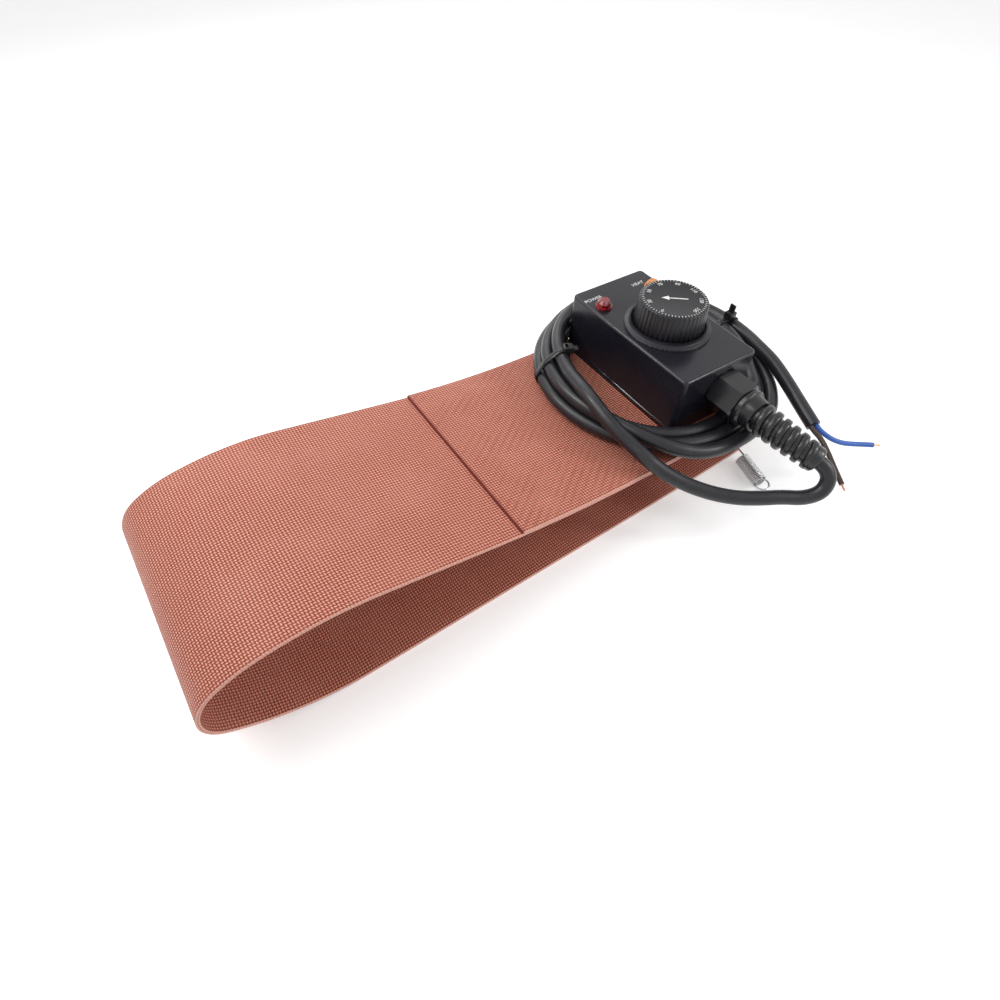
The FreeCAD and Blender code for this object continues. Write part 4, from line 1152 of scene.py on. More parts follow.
@dataclass
class Knob:
    """The fluted knob with its printed scale."""

    frame: Matrix
    centre_y: float = -4.1
    low: float = 33.7
    radius: float = 17.5
    height: float = 14.0
    skirt: float = 2.2
    draft: float = 0.9
    flutes: int = 44
    flute_depth: float = 0.32
    numerals: tuple = (0, 30, 50, 70, 90, 110, 130, 150)
    numeral_radius: float = 12.6
    numeral_size: float = 2.7
    scale_start: float = 200.0
    scale_sweep: float = 320.0
    tick_count: int = 60
    tick_inset: float = 1.65
    tick_length: float = 1.1
    tick_breadth: float = 0.24
    tick_rise: float = 0.04
    face_drop: float = 0.10
    pointer_rise: float = 0.03
    pointer_turn: float = 52.0

    def flute(self, angle: float) -> float:
        """How far the rim is cut in at an angle."""
        phase = (angle * self.flutes / math.tau) % 1.0
        return self.flute_depth * max(0.0, 1.0 - abs(phase - 0.5) / 0.32) ** 0.8

    def body(self) -> bpy.types.Mesh:
        """The moulding: skirt, fluted wall, rounded shoulder and slightly dished top.

        Returns:
            The mesh, standing on the knob's foot.
        """
        top = self.height
        rim = self.radius - self.draft
        rows = [(self.radius - self.skirt, 0.0, 0.0), (rim - self.skirt, top - 2.5, 0.0),
                (0.02, top - 2.5, 0.0), (0.02, top - 0.12, 0.0), (rim - 2.6, top - 0.12, 0.0),
                (rim - 2.2, top - 0.02, 0.0), (rim - 1.1, top, 0.0), (rim - 0.72, top - 0.09, 0.15),
                (rim - 0.28, top - 0.42, 0.6), (rim, top - 0.95, 1.0), (self.radius - 0.3, 5.0, 1.0),
                (self.radius, 0.35, 1.0), (self.radius - 0.3, 0.0, 0.6)]
        count = self.flutes * 10
        rings = []
        for step in range(count):
            angle = math.tau * step / count
            cut = self.flute(angle)
            rings.append([Vector(((r - cut * share) * math.cos(angle),
                                  (r - cut * share) * math.sin(angle), z)) * MM
                          for r, z, share in rows])
        return smooth(swept_ring(rings, "knob_body", closed=True), 40.0)

    def ticks(self, ink: bpy.types.Material) -> bpy.types.Mesh:
        """Short marks round the top's rim.

        Args:
            ink: The print's finish.

        Returns:
            The marks' mesh, at the top's middle.
        """
        reach = self.radius - self.draft - self.tick_inset
        tree = PieceNodes("knob_ticks", {
            "Count": self.tick_count, "Radius": reach * MM, "Length": self.tick_length * MM,
            "Breadth": self.tick_breadth * MM, "Rise": self.tick_rise * MM})
        circle = tree.add("CurvePrimitiveCircle", {"Radius": tree.size("Radius"),
                                                   "Resolution": tree.size("Count")})
        points = tree.add("CurveToPoints", {"Curve": circle.outputs[0], "Count": tree.size("Count")})
        size = tree.vector(tree.size("Breadth"), tree.size("Length"), tree.size("Rise"))
        mark = tree.add("MeshCube", {"Size": size})
        turned = tree.add("FunctionNodeAlignRotationToVector",
                          {"Vector": tree.add("InputPosition").outputs[0]}, axis="Y")
        marks = tree.add("InstanceOnPoints", {"Points": points.outputs[0], "Instance": mark.outputs[0],
                                              "Rotation": turned.outputs[0]})
        return tree.build("knob_ticks", marks.outputs[0], ink)

    def build(self) -> None:
        """Make the knob and its print."""
        place = self.frame @ Matrix.Translation(Vector((0.0, self.centre_y, self.low)) * MM)
        plastic = Moulding("knob_plastic", (0.007, 0.007, 0.010), roughness=0.30, dust=0.03).build()
        ink = PrintInk("knob_ink").build()
        body = placed(moved(self.body(), place), Body.KNOB, plastic)
        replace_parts(body, "knob")
        marks = [moved(self.ticks(ink), Matrix.Translation((0, 0, self.height * MM)))]
        face = self.height - self.face_drop
        for index, value in enumerate(self.numerals):
            turn = self.scale_start - self.scale_sweep * index / len(self.numerals)
            spot = Matrix.Rotation(math.radians(turn), 3, "Z") @ Vector((self.numeral_radius, 0.0, face))
            marks.append(print_mesh(str(value), self.numeral_size, spot, turn - 90.0))
        marks.append(self.pointer(face))
        for mesh in marks:
            mesh.materials.clear()
        whole = joined(marks, "knob_print")
        placed(moved(whole, place), Body.KNOB, ink)

    def pointer(self, face: float) -> bpy.types.Mesh:
        """A plain printed arrow in the middle of the top.

        Args:
            face: Height of the printed face.

        Returns:
            The arrow's mesh.
        """
        outline = [(-0.35, -6.5), (0.35, -6.5), (0.35, 2.6), (1.7, 2.6), (0.0, 6.2), (-1.7, 2.6),
                   (-0.35, 2.6)]
        rings = [[Vector((x, y, z)) * MM for x, y in outline] for z in (face, face + self.pointer_rise)]
        turn = Matrix.Rotation(math.radians(self.pointer_turn), 4, "Z")
        return moved(swept_ring(rings, "pointer"), turn)


# Gland, guard and cable


@dataclass
class BendGuard:
    """The gland nut with its spiral bend guard, drooping along a gentle arc."""

    frame: Matrix
    root: Vector = field(default_factory=lambda: Vector((4.5, -64.0, 17.8)))
    bend: float = 69.58
    turn: float = 0.4944
    aside: Vector = field(default_factory=lambda: Vector((6.5, 0.0, -5.2)).normalized())
    bore: float = 3.6
    turns: float = 6.2
    strand_width: float = 3.8
    sleeve_start: float = 5.7
    sleeve_end: float = 5.0
    first_radius: float = 7.9
    last_radius: float = 6.7
    cuff: float = 3.4
    strand_start: float = 0.6
    strand_clearance: float = 0.15
    strand_thinning: float = 0.12
    facets: int = 48

    def axis(self, along: float) -> tuple[Vector, Vector]:
        """Point and heading at a distance along the guard's axis.

        Args:
            along: Millimetres from the guard's root.

        Returns:
            The point and the heading.
        """
        angle = along / self.bend
        ahead = Vector((0.0, -1.0, 0.0))
        point = self.root + ahead * (self.bend * math.sin(angle))
        point += self.aside * (self.bend * (1 - math.cos(angle)))
        return point, ahead * math.cos(angle) + self.aside * math.sin(angle)

    def turned(self, along: float, angle: float, offset: float, radius: float) -> Vector:
        """A point round the axis, in metres.

        Args:
            along: Millimetres from the root.
            angle: Turn round the axis, in radians.
            offset: Millimetres ahead of that place.
            radius: Millimetres off the axis.

        Returns:
            The point.
        """
        point, ahead = self.axis(along)
        first = ahead.cross(Vector((0.0, 0.0, 1.0))).normalized()
        second = ahead.cross(first)
        return (point + ahead * offset + (first * math.cos(angle) + second * math.sin(angle)) * radius) * MM

    def strand(self) -> bpy.types.Mesh:
        """The spiral rib, thinning towards the mouth.

        Returns:
            The rib's mesh, in the box's frame.
        """
        length = self.bend * self.turn - self.cuff
        profile = ((-0.50, 0.0), (-0.50, 0.62), (-0.45, 0.84), (-0.32, 0.97), (0.0, 1.0), (0.32, 0.97),
                   (0.45, 0.84), (0.50, 0.62), (0.50, 0.0))
        rings = []
        count = int(self.turns * 40)
        for step in range(count + 1):
            part = step / count
            outer = self.first_radius + (self.last_radius - self.first_radius) * part
            width = self.strand_width * (1.0 - self.strand_thinning * part)
            angle = math.tau * self.turns * part
            along = self.strand_start + part * (length - self.strand_start)
            inner = self.bore + self.strand_clearance
            ring = [self.turned(along, angle, side * width,
                                inner + lift * (outer - self.bore - self.strand_clearance))
                    for side, lift in profile]
            rings.append(ring)
        return smooth(swept_ring(rings, "guard_strand"), 60.0)

    def turned_piece(self, profile: list[tuple[float, float]], name: str) -> bpy.types.Mesh:
        """A round piece from (distance along the axis, radius) pairs, bored for the cable.

        Args:
            profile: The section's corners, in order.
            name: The mesh's name.

        Returns:
            The mesh, in the box's frame.
        """
        rings = []
        for step in range(self.facets):
            angle = math.tau * step / self.facets
            rings.append([self.turned(max(along, 0.0), angle, min(along, 0.0), radius)
                          for along, radius in profile])
        return smooth(swept_ring(rings, name, closed=True), 40.0)

    def build(self) -> None:
        """Make the nut's collar and shoulder, the sleeve with its strand, and the cuff."""
        collar = [(-7.0, self.bore), (-7.0, 8.9), (-6.4, 9.55), (-4.6, 9.6), (-4.1, 9.2), (-3.7, 8.3),
                  (-1.6, 7.9), (0.2, 7.75), (1.3, 7.4), (1.5, self.bore)]
        end = self.bend * self.turn
        start = end - self.cuff
        cuff = [(start - 1.2, self.bore), (start - 1.2, 5.4), (start - 0.4, 6.2), (end - 1.3, 6.2),
                (end - 0.5, 5.9), (end, 5.2), (end, self.bore)]
        first = self.strand_start
        runs = [first + (start - first) * step / 14 for step in range(15)]
        taper = (self.sleeve_end - self.sleeve_start) / start
        sleeve = [(run, self.sleeve_start + taper * run) for run in runs]
        sleeve += [(run, self.bore) for run in reversed(runs)]
        parts = [self.turned_piece(collar, "guard_collar"), self.strand(),
                 self.turned_piece(sleeve, "guard_sleeve"),
                 self.turned_piece(cuff, "guard_cuff")]
        rubber = Moulding("guard_rubber", (0.008, 0.008, 0.010), 0.26, 0.5, dust=0.04, gloss=0.5).build()
        mesh = moved(joined(parts, "bend_guard"), self.frame)
        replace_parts(placed(mesh, Body.STRAP, rubber), "gland_guard")


@dataclass
class CoiledCable:
    """The mains cable: one line from the guard's mouth, round the box and out to its stripped end."""

    frame: Matrix
    guard: BendGuard
    middle: tuple = (1.5, 0.3)
    inner: float = 48.09
    diameter: float = 7.0
    lead_exit: float = 3.0
    gland_height: float = 17.8
    length: float = 1445.7
    core_lengths: tuple = (32.2, 33.7)
    core_diameter: float = 2.5
    core_spread: float = 1.5
    straight: float = 2.6
    fold: tuple = ((-83.9, 56.3, -8.7), (-84.8, 58.5, -12.4), (-86.6, 58.6, -16.5))
    lead: tuple = ((-89.7, 55.0, -1.8), (-94.1, 49.8, -1.5), (-99.3, 45.9, -2.1), (-105.2, 42.1, -2.4),
                   (-110.9, 38.1, -2.1), (-117.0, 34.2, -0.8), (-123.1, 30.9, 1.5), (-129.2, 28.3, 4.9),
                   (-135.4, 25.7, 9.3))
    tail: tuple = ((-25.9, 9.0, 12.0), (-38.0, 13.4, 11.9), (-49.9, 19.8, 10.1), (-59.0, 28.2, 7.5),
                   (-65.0, 37.3, 4.7))
    blue: tuple = ((-65.6, 43.0, 3.2), (-65.5, 47.5, 1.6), (-64.5, 52.1, 0.2), (-63.0, 56.7, -0.6),
                   (-61.3, 61.9, -1.0), (-60.1, 66.8, -1.2))
    brown: tuple = ((-67.7, 43.1, 2.4), (-71.2, 49.3, 0.7), (-74.8, 55.5, -0.8), (-77.8, 61.8, -1.9))
    copper_length: float = 4.0
    copper_count: int = 7
    copper_radius: float = 0.17
    copper_bundle: float = 0.34
    copper_twist: float = 0.9
    spline_pull: float = 0.985

    # The coil's turns: each pass goes on from the last with even steps to an end direction, and
    # says the radius and height there. Directions fall as the cable goes clockwise.
    passes: tuple = (
        (-141.0, 1, 69.3, 11.0), (-150.8, 1, 65.5, 15.7), (-160.6, 1, 60.2, 18.2), (-170.4, 1, 55.6, 18.2),
        (-180.2, 1, 52.7, 16.9), (-190.0, 1, 51.5, 15.9), (-210.0, 1, 51.4, 15.8), (-230.0, 1, 51.8, 16.2),
        (-250.0, 1, 51.9, 16.3), (-290.0, 2, 51.3, 15.8), (-310.0, 1, 50.3, 14.7), (-330.0, 1, 49.3, 13.2),
        (-350.0, 1, 48.5, 12.2), (-370.0, 1, 48.1, 11.6), (-390.0, 1, 48.2, 11.2), (-410.0, 1, 49.0, 10.9),
        (-417.0, 1, 51.1, 11.0), (-424.0, 1, 50.7, 8.4), (-431.0, 1, 48.1, 4.5), (-438.0, 1, 48.9, 4.5),
        (-445.0, 1, 49.5, 4.5), (-452.0, 1, 50.4, 4.5), (-472.5, 1, 52.8, 4.5), (-493.1, 1, 53.1, 4.5),
        (-513.6, 1, 52.3, 4.5), (-657.3, 7, 52.2, 4.5), (-718.9, 3, 51.7, 4.5), (-739.5, 1, 51.8, 4.5),
        (-760.0, 1, 52.6, 4.5), (-775.0, 1, 55.6, 4.5), (-790.0, 1, 57.7, 4.5), (-805.0, 1, 57.3, 4.5),
        (-820.0, 1, 58.4, 4.5), (-835.0, 1, 59.6, 4.5), (-850.0, 1, 60.0, 4.5), (-890.0, 2, 60.6, 4.5),
        (-950.0, 3, 60.0, 4.5), (-1050.0, 5, 59.4, 4.5), (-1090.0, 2, 58.9, 4.5), (-1110.0, 1, 59.1, 4.5),
        (-1122.0, 1, 60.2, 4.5), (-1134.0, 1, 62.4, 4.5), (-1146.0, 1, 64.3, 4.5), (-1170.0, 2, 64.7, 4.5),
        (-1182.0, 1, 65.6, 4.5), (-1194.0, 1, 66.5, 5.9), (-1206.0, 1, 65.5, 9.2), (-1218.0, 1, 62.4, 11.3),
        (-1230.0, 1, 59.1, 11.8), (-1250.4, 1, 57.5, 10.8), (-1311.5, 3, 56.4, 10.7),
        (-1392.9, 4, 56.4, 10.8), (-1433.6, 2, 56.0, 11.3), (-1454.0, 1, 55.9, 11.7))

    def polar(self, direction: float, radius: float, height: float) -> Vector:
        """A point round the coil's middle, in the box's frame.

        Args:
            direction: The direction in degrees.
            radius: Millimetres from the middle.
            height: Millimetres over the box's foot.

        Returns:
            The point.
        """
        angle = math.radians(direction)
        x, y = self.middle
        return Vector((x + radius * math.cos(angle), y + radius * math.sin(angle), height))

    def free(self, place: tuple, above: float = 0.0) -> Vector:
        """A point of a free run, from its distance outside the coil's inner radius."""
        return self.polar(place[0], self.inner + place[1], above + place[2])

    def winding(self) -> list[tuple[float, float, float]]:
        """The coil's control points as direction, radius and height.

        Returns:
            The points, in the order that the cable takes.
        """
        points = [(self.passes[0][0], *self.passes[0][2:])]
        for direction, steps, radius, height in self.passes[1:]:
            before = points[-1]
            for step in range(1, steps + 1):
                part = step / steps
                points.append(tuple(first + (last - first) * part for first, last
                                    in zip(before, (direction, radius, height))))
        return points

    def mouth(self) -> tuple[Vector, Vector]:
        """Point and heading where the cable leaves the guard."""
        return self.guard.axis(self.guard.bend * self.guard.turn)

    def route(self) -> list[Vector]:
        """Every control point in the part's frame, in millimetres.

        Returns:
            The points from the guard's mouth to the cut end.
        """
        mouth, ahead = self.mouth()
        points = [mouth, mouth + ahead * self.lead_exit]
        points += [self.free(place, self.gland_height) for place in self.fold]
        points += [self.free(place) for place in self.lead]
        points += [self.polar(*place) for place in self.winding()]
        points += [self.free(place) for place in self.tail]
        return [self.in_part(point) for point in points]

    def in_part(self, point: Vector) -> Vector:
        """Carry a millimetre point from the box's frame to the part's."""
        return (self.frame @ (point * MM)) / MM

    def core_route(self, side: int, places: tuple) -> list[Vector]:
        """A core from the cable's cut end.

        Args:
            side: -1 or 1, for the core's side of the cut end.
            places: The core's free points.

        Returns:
            The control points, in the part's frame.
        """
        end = self.in_part(self.free(self.tail[-1]))
        heading = (end - self.in_part(self.free(self.tail[-2]))).normalized()
        across = heading.cross(Vector((0.0, 0.0, 1.0))).normalized()
        start = end + across * (side * self.core_spread)
        points = [start, start + heading * self.straight]
        return points + [self.in_part(self.free(place)) for place in places]

    def cable_curve(self, points: list[Vector], diameter: float, name: str,
                    material: bpy.types.Material) -> bpy.types.Object:
        """A round cord as one smooth curve object on the strap's body.

        Args:
            points: The control points, in millimetres.
            diameter: The cord's.
            name: The piece's name.
            material: The finish.

        Returns:
            The curve's object.
        """
        curve = nurbs(points, name, 10)
        curve.bevel_depth = diameter / 2 * MM
        curve.bevel_resolution = 6
        curve.use_fill_caps = True
        curve.materials.append(material)
        cord = bpy.data.objects.new(name, curve)
        bpy.context.scene.collection.objects.link(cord)
        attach(cord, Body.STRAP.value)
        LOG.info("%s on %s: %d control points", name, Body.STRAP.value, len(points))
        return cord

    def strands(self, name: str, points: list[Vector], copper: bpy.types.Material) -> bpy.types.Mesh:
        """Fine bare wires that fan a little out of a core's end.

        Args:
            name: The piece's name.
            points: The core's control points.
            copper: The finish.

        Returns:
            The strands' mesh, in the part's frame.
        """
        end = points[-1]
        heading = (end - points[-2]).normalized()
        tree = PieceNodes(name, {
            "Count": self.copper_count, "Length": self.copper_length * MM,
            "Wire": self.copper_radius * MM, "Bundle": self.copper_bundle * MM,
            "Twist": self.copper_twist})
        ring = tree.add("CurvePrimitiveCircle", {"Radius": tree.size("Bundle"),
                                                 "Resolution": tree.size("Count")})
        feet = tree.add("CurveToPoints", {"Curve": ring.outputs[0], "Count": tree.size("Count")})
        line = tree.add("CurvePrimitiveLine", {"End": tree.vector(0.0, 0.0, tree.size("Length"))})
        many = tree.add("InstanceOnPoints", {"Points": feet.outputs[0], "Instance": line.outputs[0]})
        lines = tree.add("RealizeInstances", {"Geometry": many.outputs[0]})
        fine = tree.add("ResampleCurve", {"Curve": lines.outputs[0], "Count": 10})
        height = tree.add("ShaderNodeSeparateXYZ", {0: tree.add("InputPosition").outputs[0]}).outputs[2]
        part = tree.math("DIVIDE", height, tree.size("Length"))
        swirl = tree.add("ShaderNodeVectorRotate", {
            "Vector": tree.add("InputPosition").outputs[0],
            "Angle": tree.math("MULTIPLY", part, tree.size("Twist"))}, rotation_type="Z_AXIS")
        twisted = tree.add("SetPosition", {"Geometry": fine.outputs[0], "Position": swirl.outputs[0]})
        wire = tree.add("CurvePrimitiveCircle", {"Radius": tree.size("Wire"), "Resolution": 8})
        bars = tree.add("CurveToMesh", {"Curve": twisted.outputs[0], "Profile Curve": wire.outputs[0],
                                        "Fill Caps": True})
        mesh = tree.build(name, bars.outputs[0], copper)
        turn = Vector((0.0, 0.0, 1.0)).rotation_difference(heading).to_matrix().to_4x4()
        return moved(mesh, Matrix.Translation((end - heading * 0.4) * MM) @ turn)

    def build(self, ties: list[bpy.types.Object]) -> None:
        """Make the cable, its cores and their bare ends.

        Args:
            ties: The ties that hold the coil's turns; not used.
        """
        route = self.route()
        sheath = CableSheath().build()
        cable = self.cable_curve(route, self.diameter, "mains_cable", sheath)
        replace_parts(cable, "cable_lead", "cable_coil", "cable_tail")
        self.length * MM
        copper = BrightMetal("copper", (0.80, 0.42, 0.26), (0.52, 0.24, 0.14), 0.30).build()
        for side, places, colour, slot, length in (
                (-1, self.blue, (0.036, 0.110, 0.400), Slot.CORE_BLUE, self.core_lengths[0]),
                (1, self.brown, (0.050, 0.030, 0.022), Slot.CORE_BROWN, self.core_lengths[1])):
            name = slot.value
            points = self.core_route(side, places)
            skin = Moulding(name + "_skin", colour, 0.36, dust=0.02).build()
            core = self.cable_curve(points, self.core_diameter, name + "_wire", skin)
            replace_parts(core, name)
            tip = "copper" + name[4:]
            mesh = smooth(self.strands(tip + "_strands", points, copper), 60.0)
            wires = placed(mesh, Body.STRAP)
            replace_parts(wires, tip)

    def strand_centres(self, direction: float) -> list[tuple[float, float]]:
        """Radius and height of every strand of the coil at one direction.

        Args:
            direction: The direction in degrees.

        Returns:
            The centres.
        """
        winding = self.winding()
        centres = []
        for first, second in zip(winding, winding[1:]):
            turns = math.floor((first[0] - direction) / 360.0)
            crossing = direction + 360.0 * turns
            if second[0] < crossing <= first[0]:
                part = (first[0] - crossing) / (first[0] - second[0])
                centres.append(((first[1] + (second[1] - first[1]) * part) * self.spline_pull,
                                first[2] + (second[2] - first[2]) * part))
        return centres


@dataclass
class CableTie:
    """A nylon tie pulled round the strands, with its ratchet head on top."""

    cable: CoiledCable
    direction: float
    head_out: float
    upright: bool
    name: str
    width: float = 3.6
    thickness: float = 0.6
    gap: float = 0.12
    steps: int = 72
    rounding: float = 0.16
    head: Vector = field(default_factory=lambda: Vector((5.0, 4.6, 4.0)))
    pawl_slot: Vector = field(default_factory=lambda: Vector((1.5, 3.2, 3.0)))
    tail: tuple = (5.0, 1.2)

    def outline(self, reach: float) -> list[tuple[float, float]]:
        """The strands' outer shape, a distance off their centres, as (radius, height).

        Args:
            reach: How far off the centres it runs.

        Returns:
            The outline's points, in order.
        """
        centres = self.cable.strand_centres(self.direction)
        shape = []
        for step in range(self.steps):
            angle = math.tau * step / self.steps
            across, up = math.cos(angle), math.sin(angle)
            best = max(centres, key=lambda centre: centre[0] * across + centre[1] * up)
            shape.append((best[0] + reach * across, best[1] + reach * up))
        return shape

    def band(self) -> bpy.types.Mesh:
        """The strap of the tie, as a closed ring with rounded edges.

        Returns:
            The band's mesh, round the coil's middle.
        """
        inner = self.cable.diameter / 2 + self.gap
        half = self.width / 2
        soft = self.rounding
        section = ((0.0, -half + soft), (soft, -half), (self.thickness - soft, -half),
                   (self.thickness, -half + soft), (self.thickness, half - soft),
                   (self.thickness - soft, half), (soft, half), (0.0, half - soft))
        outlines = {reach: self.outline(inner + reach) for reach in {reach for reach, _ in section}}
        rings = []
        for step in range(self.steps):
            rings.append([Vector((outlines[reach][step][0], y, outlines[reach][step][1])) * MM
                          for reach, y in section])
        return smooth(swept_ring(rings, "tie_band", closed=True), 50.0)

    def top_at(self, radius: float) -> float:
        """The band's upper face over a radius.

        Args:
            radius: Millimetres from the coil's middle.

        Returns:
            The face's height.
        """
        shape = self.outline(self.cable.diameter / 2 + self.gap + self.thickness)
        heights = [0.0]
        for first, second in zip(shape, shape[1:] + shape[:1]):
            low, high = sorted((first[0], second[0]))
            if low <= radius <= high and high > low:
                part = (radius - first[0]) / (second[0] - first[0])
                heights.append(first[1] + (second[1] - first[1]) * part)
        return max(heights)

    def build(self, nylon: bpy.types.Material) -> bpy.types.Object:
        """Make the band, the head with its pawl slot, and the cropped tail.

        Args:
            nylon: The finish.

        Returns:
            The tie.
        """
        low = self.top_at(self.head_out) - 0.35
        middle = Vector((self.head_out, 0.0, low + self.head.z / 2))
        head = block(self.head, middle, 0.5, "tie_head")
        over = Vector((self.head_out + 1.0, 0.0, low + self.head.z))
        slot_cutter = block(self.pawl_slot, over, 0.1, "tie_slot")
        head = smooth(evaluated(head, "tie_head", slot_cutter), 40.0)
        long, thick = self.tail
        size, place = Vector((long, self.width, thick)), Vector((self.head_out - 2.5, 0.0, low + 2.0))
        if self.upright:
            size, place = Vector((thick, self.width, long)), Vector((self.head_out, 0.0, low + 5.8))
        tail = block(size, place, 0.25, "tail")
        mesh = joined([self.band(), head, smooth(tail, 40.0)], self.name + "_band")
        turn = Matrix.Rotation(math.radians(self.direction), 4, "Z")
        coil = Vector((*self.cable.middle, 0.0))
        place = self.cable.frame @ Matrix.Translation(coil * MM) @ turn
        tie = placed(moved(mesh, place), Body.STRAP, nylon)
        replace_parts(tie, self.name)
        return tie


@dataclass
class HookedSpring:
    """A close-wound spring with a hook in its eyelet and a loop at its far end."""

    body: Body
    node: str
    eyelet: Vector
    mirrored: bool
    wire: float = 0.95
    diameter: float = 7.5
    turns: int = 18
    lean: float = 14.0
    reach: float = 11.5
    axis_height: float = 3.8
    loop: float = 3.8
    standoff: float = 1.5
    wound_share: float = 0.43
    loop_start: float = 100.0
    loop_sweep: float = 330.0
    loop_steps: int = 14

    def winding(self, metal: bpy.types.Material) -> bpy.types.Mesh:
        """The coils, made as one spiral.

        Args:
            metal: The finish.

        Returns:
            The coils' mesh, before the spring is placed.
        """
        middle = (self.diameter - self.wire) / 2
        tree = PieceNodes(self.node + "_winding", {
            "Turns": float(self.turns), "Radius": middle * MM, "Length": self.turns * self.wire * MM,
            "Wire": self.wire * self.wound_share * MM, "Steps": 40})
        spiral = tree.add("CurveSpiral", {
            "Resolution": tree.size("Steps"), "Rotations": tree.size("Turns"),
            "Start Radius": tree.size("Radius"), "End Radius": tree.size("Radius"),
            "Height": tree.size("Length")})
        section = tree.add("CurvePrimitiveCircle", {"Radius": tree.size("Wire"), "Resolution": 12})
        bar = tree.add("CurveToMesh", {"Curve": spiral.outputs[0], "Profile Curve": section.outputs[0],
                                       "Fill Caps": True})
        mesh = tree.build(self.node + "_winding", bar.outputs[0], metal)
        lay = Matrix.Rotation(math.radians(90.0), 4, "X") @ Matrix.Rotation(math.radians(90.0), 4, "Z")
        return moved(mesh, Matrix.Translation(Vector((0.0, -self.reach, self.axis_height)) * MM) @ lay)

    def hook(self) -> bpy.types.Mesh:
        """The bent wire through the eyelet.

        Returns:
            The hook's mesh.
        """
        top = self.axis_height + (self.diameter - self.wire) / 2
        points = [Vector((0.0, -self.reach - 0.9, top)), Vector((0.0, -self.reach + 1.4, top)),
                  Vector((0.0, -5.4, top - 0.3)), Vector((0.0, -1.5, top - 0.6)),
                  Vector((0.0, 0.5, top - 2.2)), Vector((0.0, 0.4, 2.6)), Vector((0.0, -0.2, 0.75)),
                  Vector((0.0, -2.4, 0.55)), Vector((0.0, -4.6, 0.65))]
        return route_mesh(points, self.wire, "hook", 3, 10)

    def end_loop(self) -> bpy.types.Mesh:
        """The open ring at the far end, bent out of the last coil.

        Returns:
            The loop's mesh.
        """
        y = -self.reach - self.turns * self.wire
        centre = Vector((0.0, y - self.standoff - self.loop + 3.8, self.axis_height))
        top = self.axis_height + (self.diameter - self.wire) / 2
        points = [Vector((0.0, y + 0.5, top)), Vector((0.4, y - 0.4, top - 0.6))]
        for step in range(self.loop_steps + 1):
            angle = math.radians(self.loop_start - self.loop_sweep * step / self.loop_steps)
            rise = max(0.0, 1.0 - step / 2.0) * 1.4
            points.append(centre + Vector((self.loop * math.cos(angle), self.loop * math.sin(angle), rise)))
        return route_mesh(points, self.wire, "end_loop", 3, 8)

    def build(self) -> None:
        """Make the spring and stand it in its eyelet."""
        metal = BrightMetal(self.node + "_steel", (0.50, 0.50, 0.50), (0.26, 0.26, 0.26), 0.18).build()
        parts = [self.winding(metal), self.hook(), self.end_loop()]
        for mesh in parts:
            mesh.materials.clear()
        place = Matrix.Rotation(math.radians(-self.lean), 4, "Z")
        if self.mirrored:
            place = Matrix.Diagonal((1.0, -1.0, 1.0, 1.0)) @ place
        place = Matrix.Translation(self.eyelet * MM) @ place
        mesh = smooth(moved(joined(parts, self.node + "_wire"), place), 60.0)
        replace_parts(placed(mesh, self.body, metal), self.node)


# The frame's own nodes, and the studio


class PlainDress:
    """Finishes for the CAD nodes that keep their own mesh."""

    def __init__(self) -> None:
        """Make each finish once."""
        black = Moulding("inner_plastic", dust=0.02).build()
        nickel = BrightMetal("nickel").build()
        foil = BrightMetal("etched_foil", (0.56, 0.55, 0.52), (0.40, 0.38, 0.34), 0.3).build()
        brass = BrightMetal("brass", (0.72, 0.56, 0.28), (0.42, 0.30, 0.14)).build()
        self.by_node = {
            "heating_element": foil, "spindle": nickel, "panel_screws": nickel, "terminal_screws": nickel,
            "sensor_bulb": BrightMetal("sensor_copper", (0.74, 0.42, 0.28), (0.42, 0.22, 0.14)).build(),
            "capillary_tube": BrightMetal("capillary_copper", (0.74, 0.42, 0.28), (0.42, 0.22, 0.14)).build(),
            "element_leads": Moulding("lead_skin", (0.52, 0.50, 0.46), 0.5).build(),
            "terminal_block": Moulding("block_plastic", (0.62, 0.60, 0.54), 0.45, dust=0.0).build(),
            "thermostat_body": Moulding("thermostat_ceramic", (0.50, 0.46, 0.38), 0.5).build(),
            "gland_locknut": brass,
            "lamp_red_lens": TintedLens("red_lens", (0.42, 0.008, 0.012), (0.10, 0.003, 0.005)).build(),
            "lamp_amber_lens": TintedLens("amber_lens", (0.90, 0.34, 0.035), (0.42, 0.11, 0.010)).build(),
            "cable_inside": CableSheath("inner_sheath").build(),
            "cores_inside": Moulding("inner_cores", (0.05, 0.10, 0.30), 0.4).build()}
        self.rest = black

    def build(self, nodes: dict[str, bpy.types.Object]) -> None:
        """Put a finish on every node.

        Args:
            nodes: The frame's CAD nodes by name.
        """
        for name, node in nodes.items():
            material = self.by_node.get(name, self.rest)
            slots = node.material_slots
            if not slots:
                node.data.materials.append(material)
            for slot in slots:
                slot.material = material


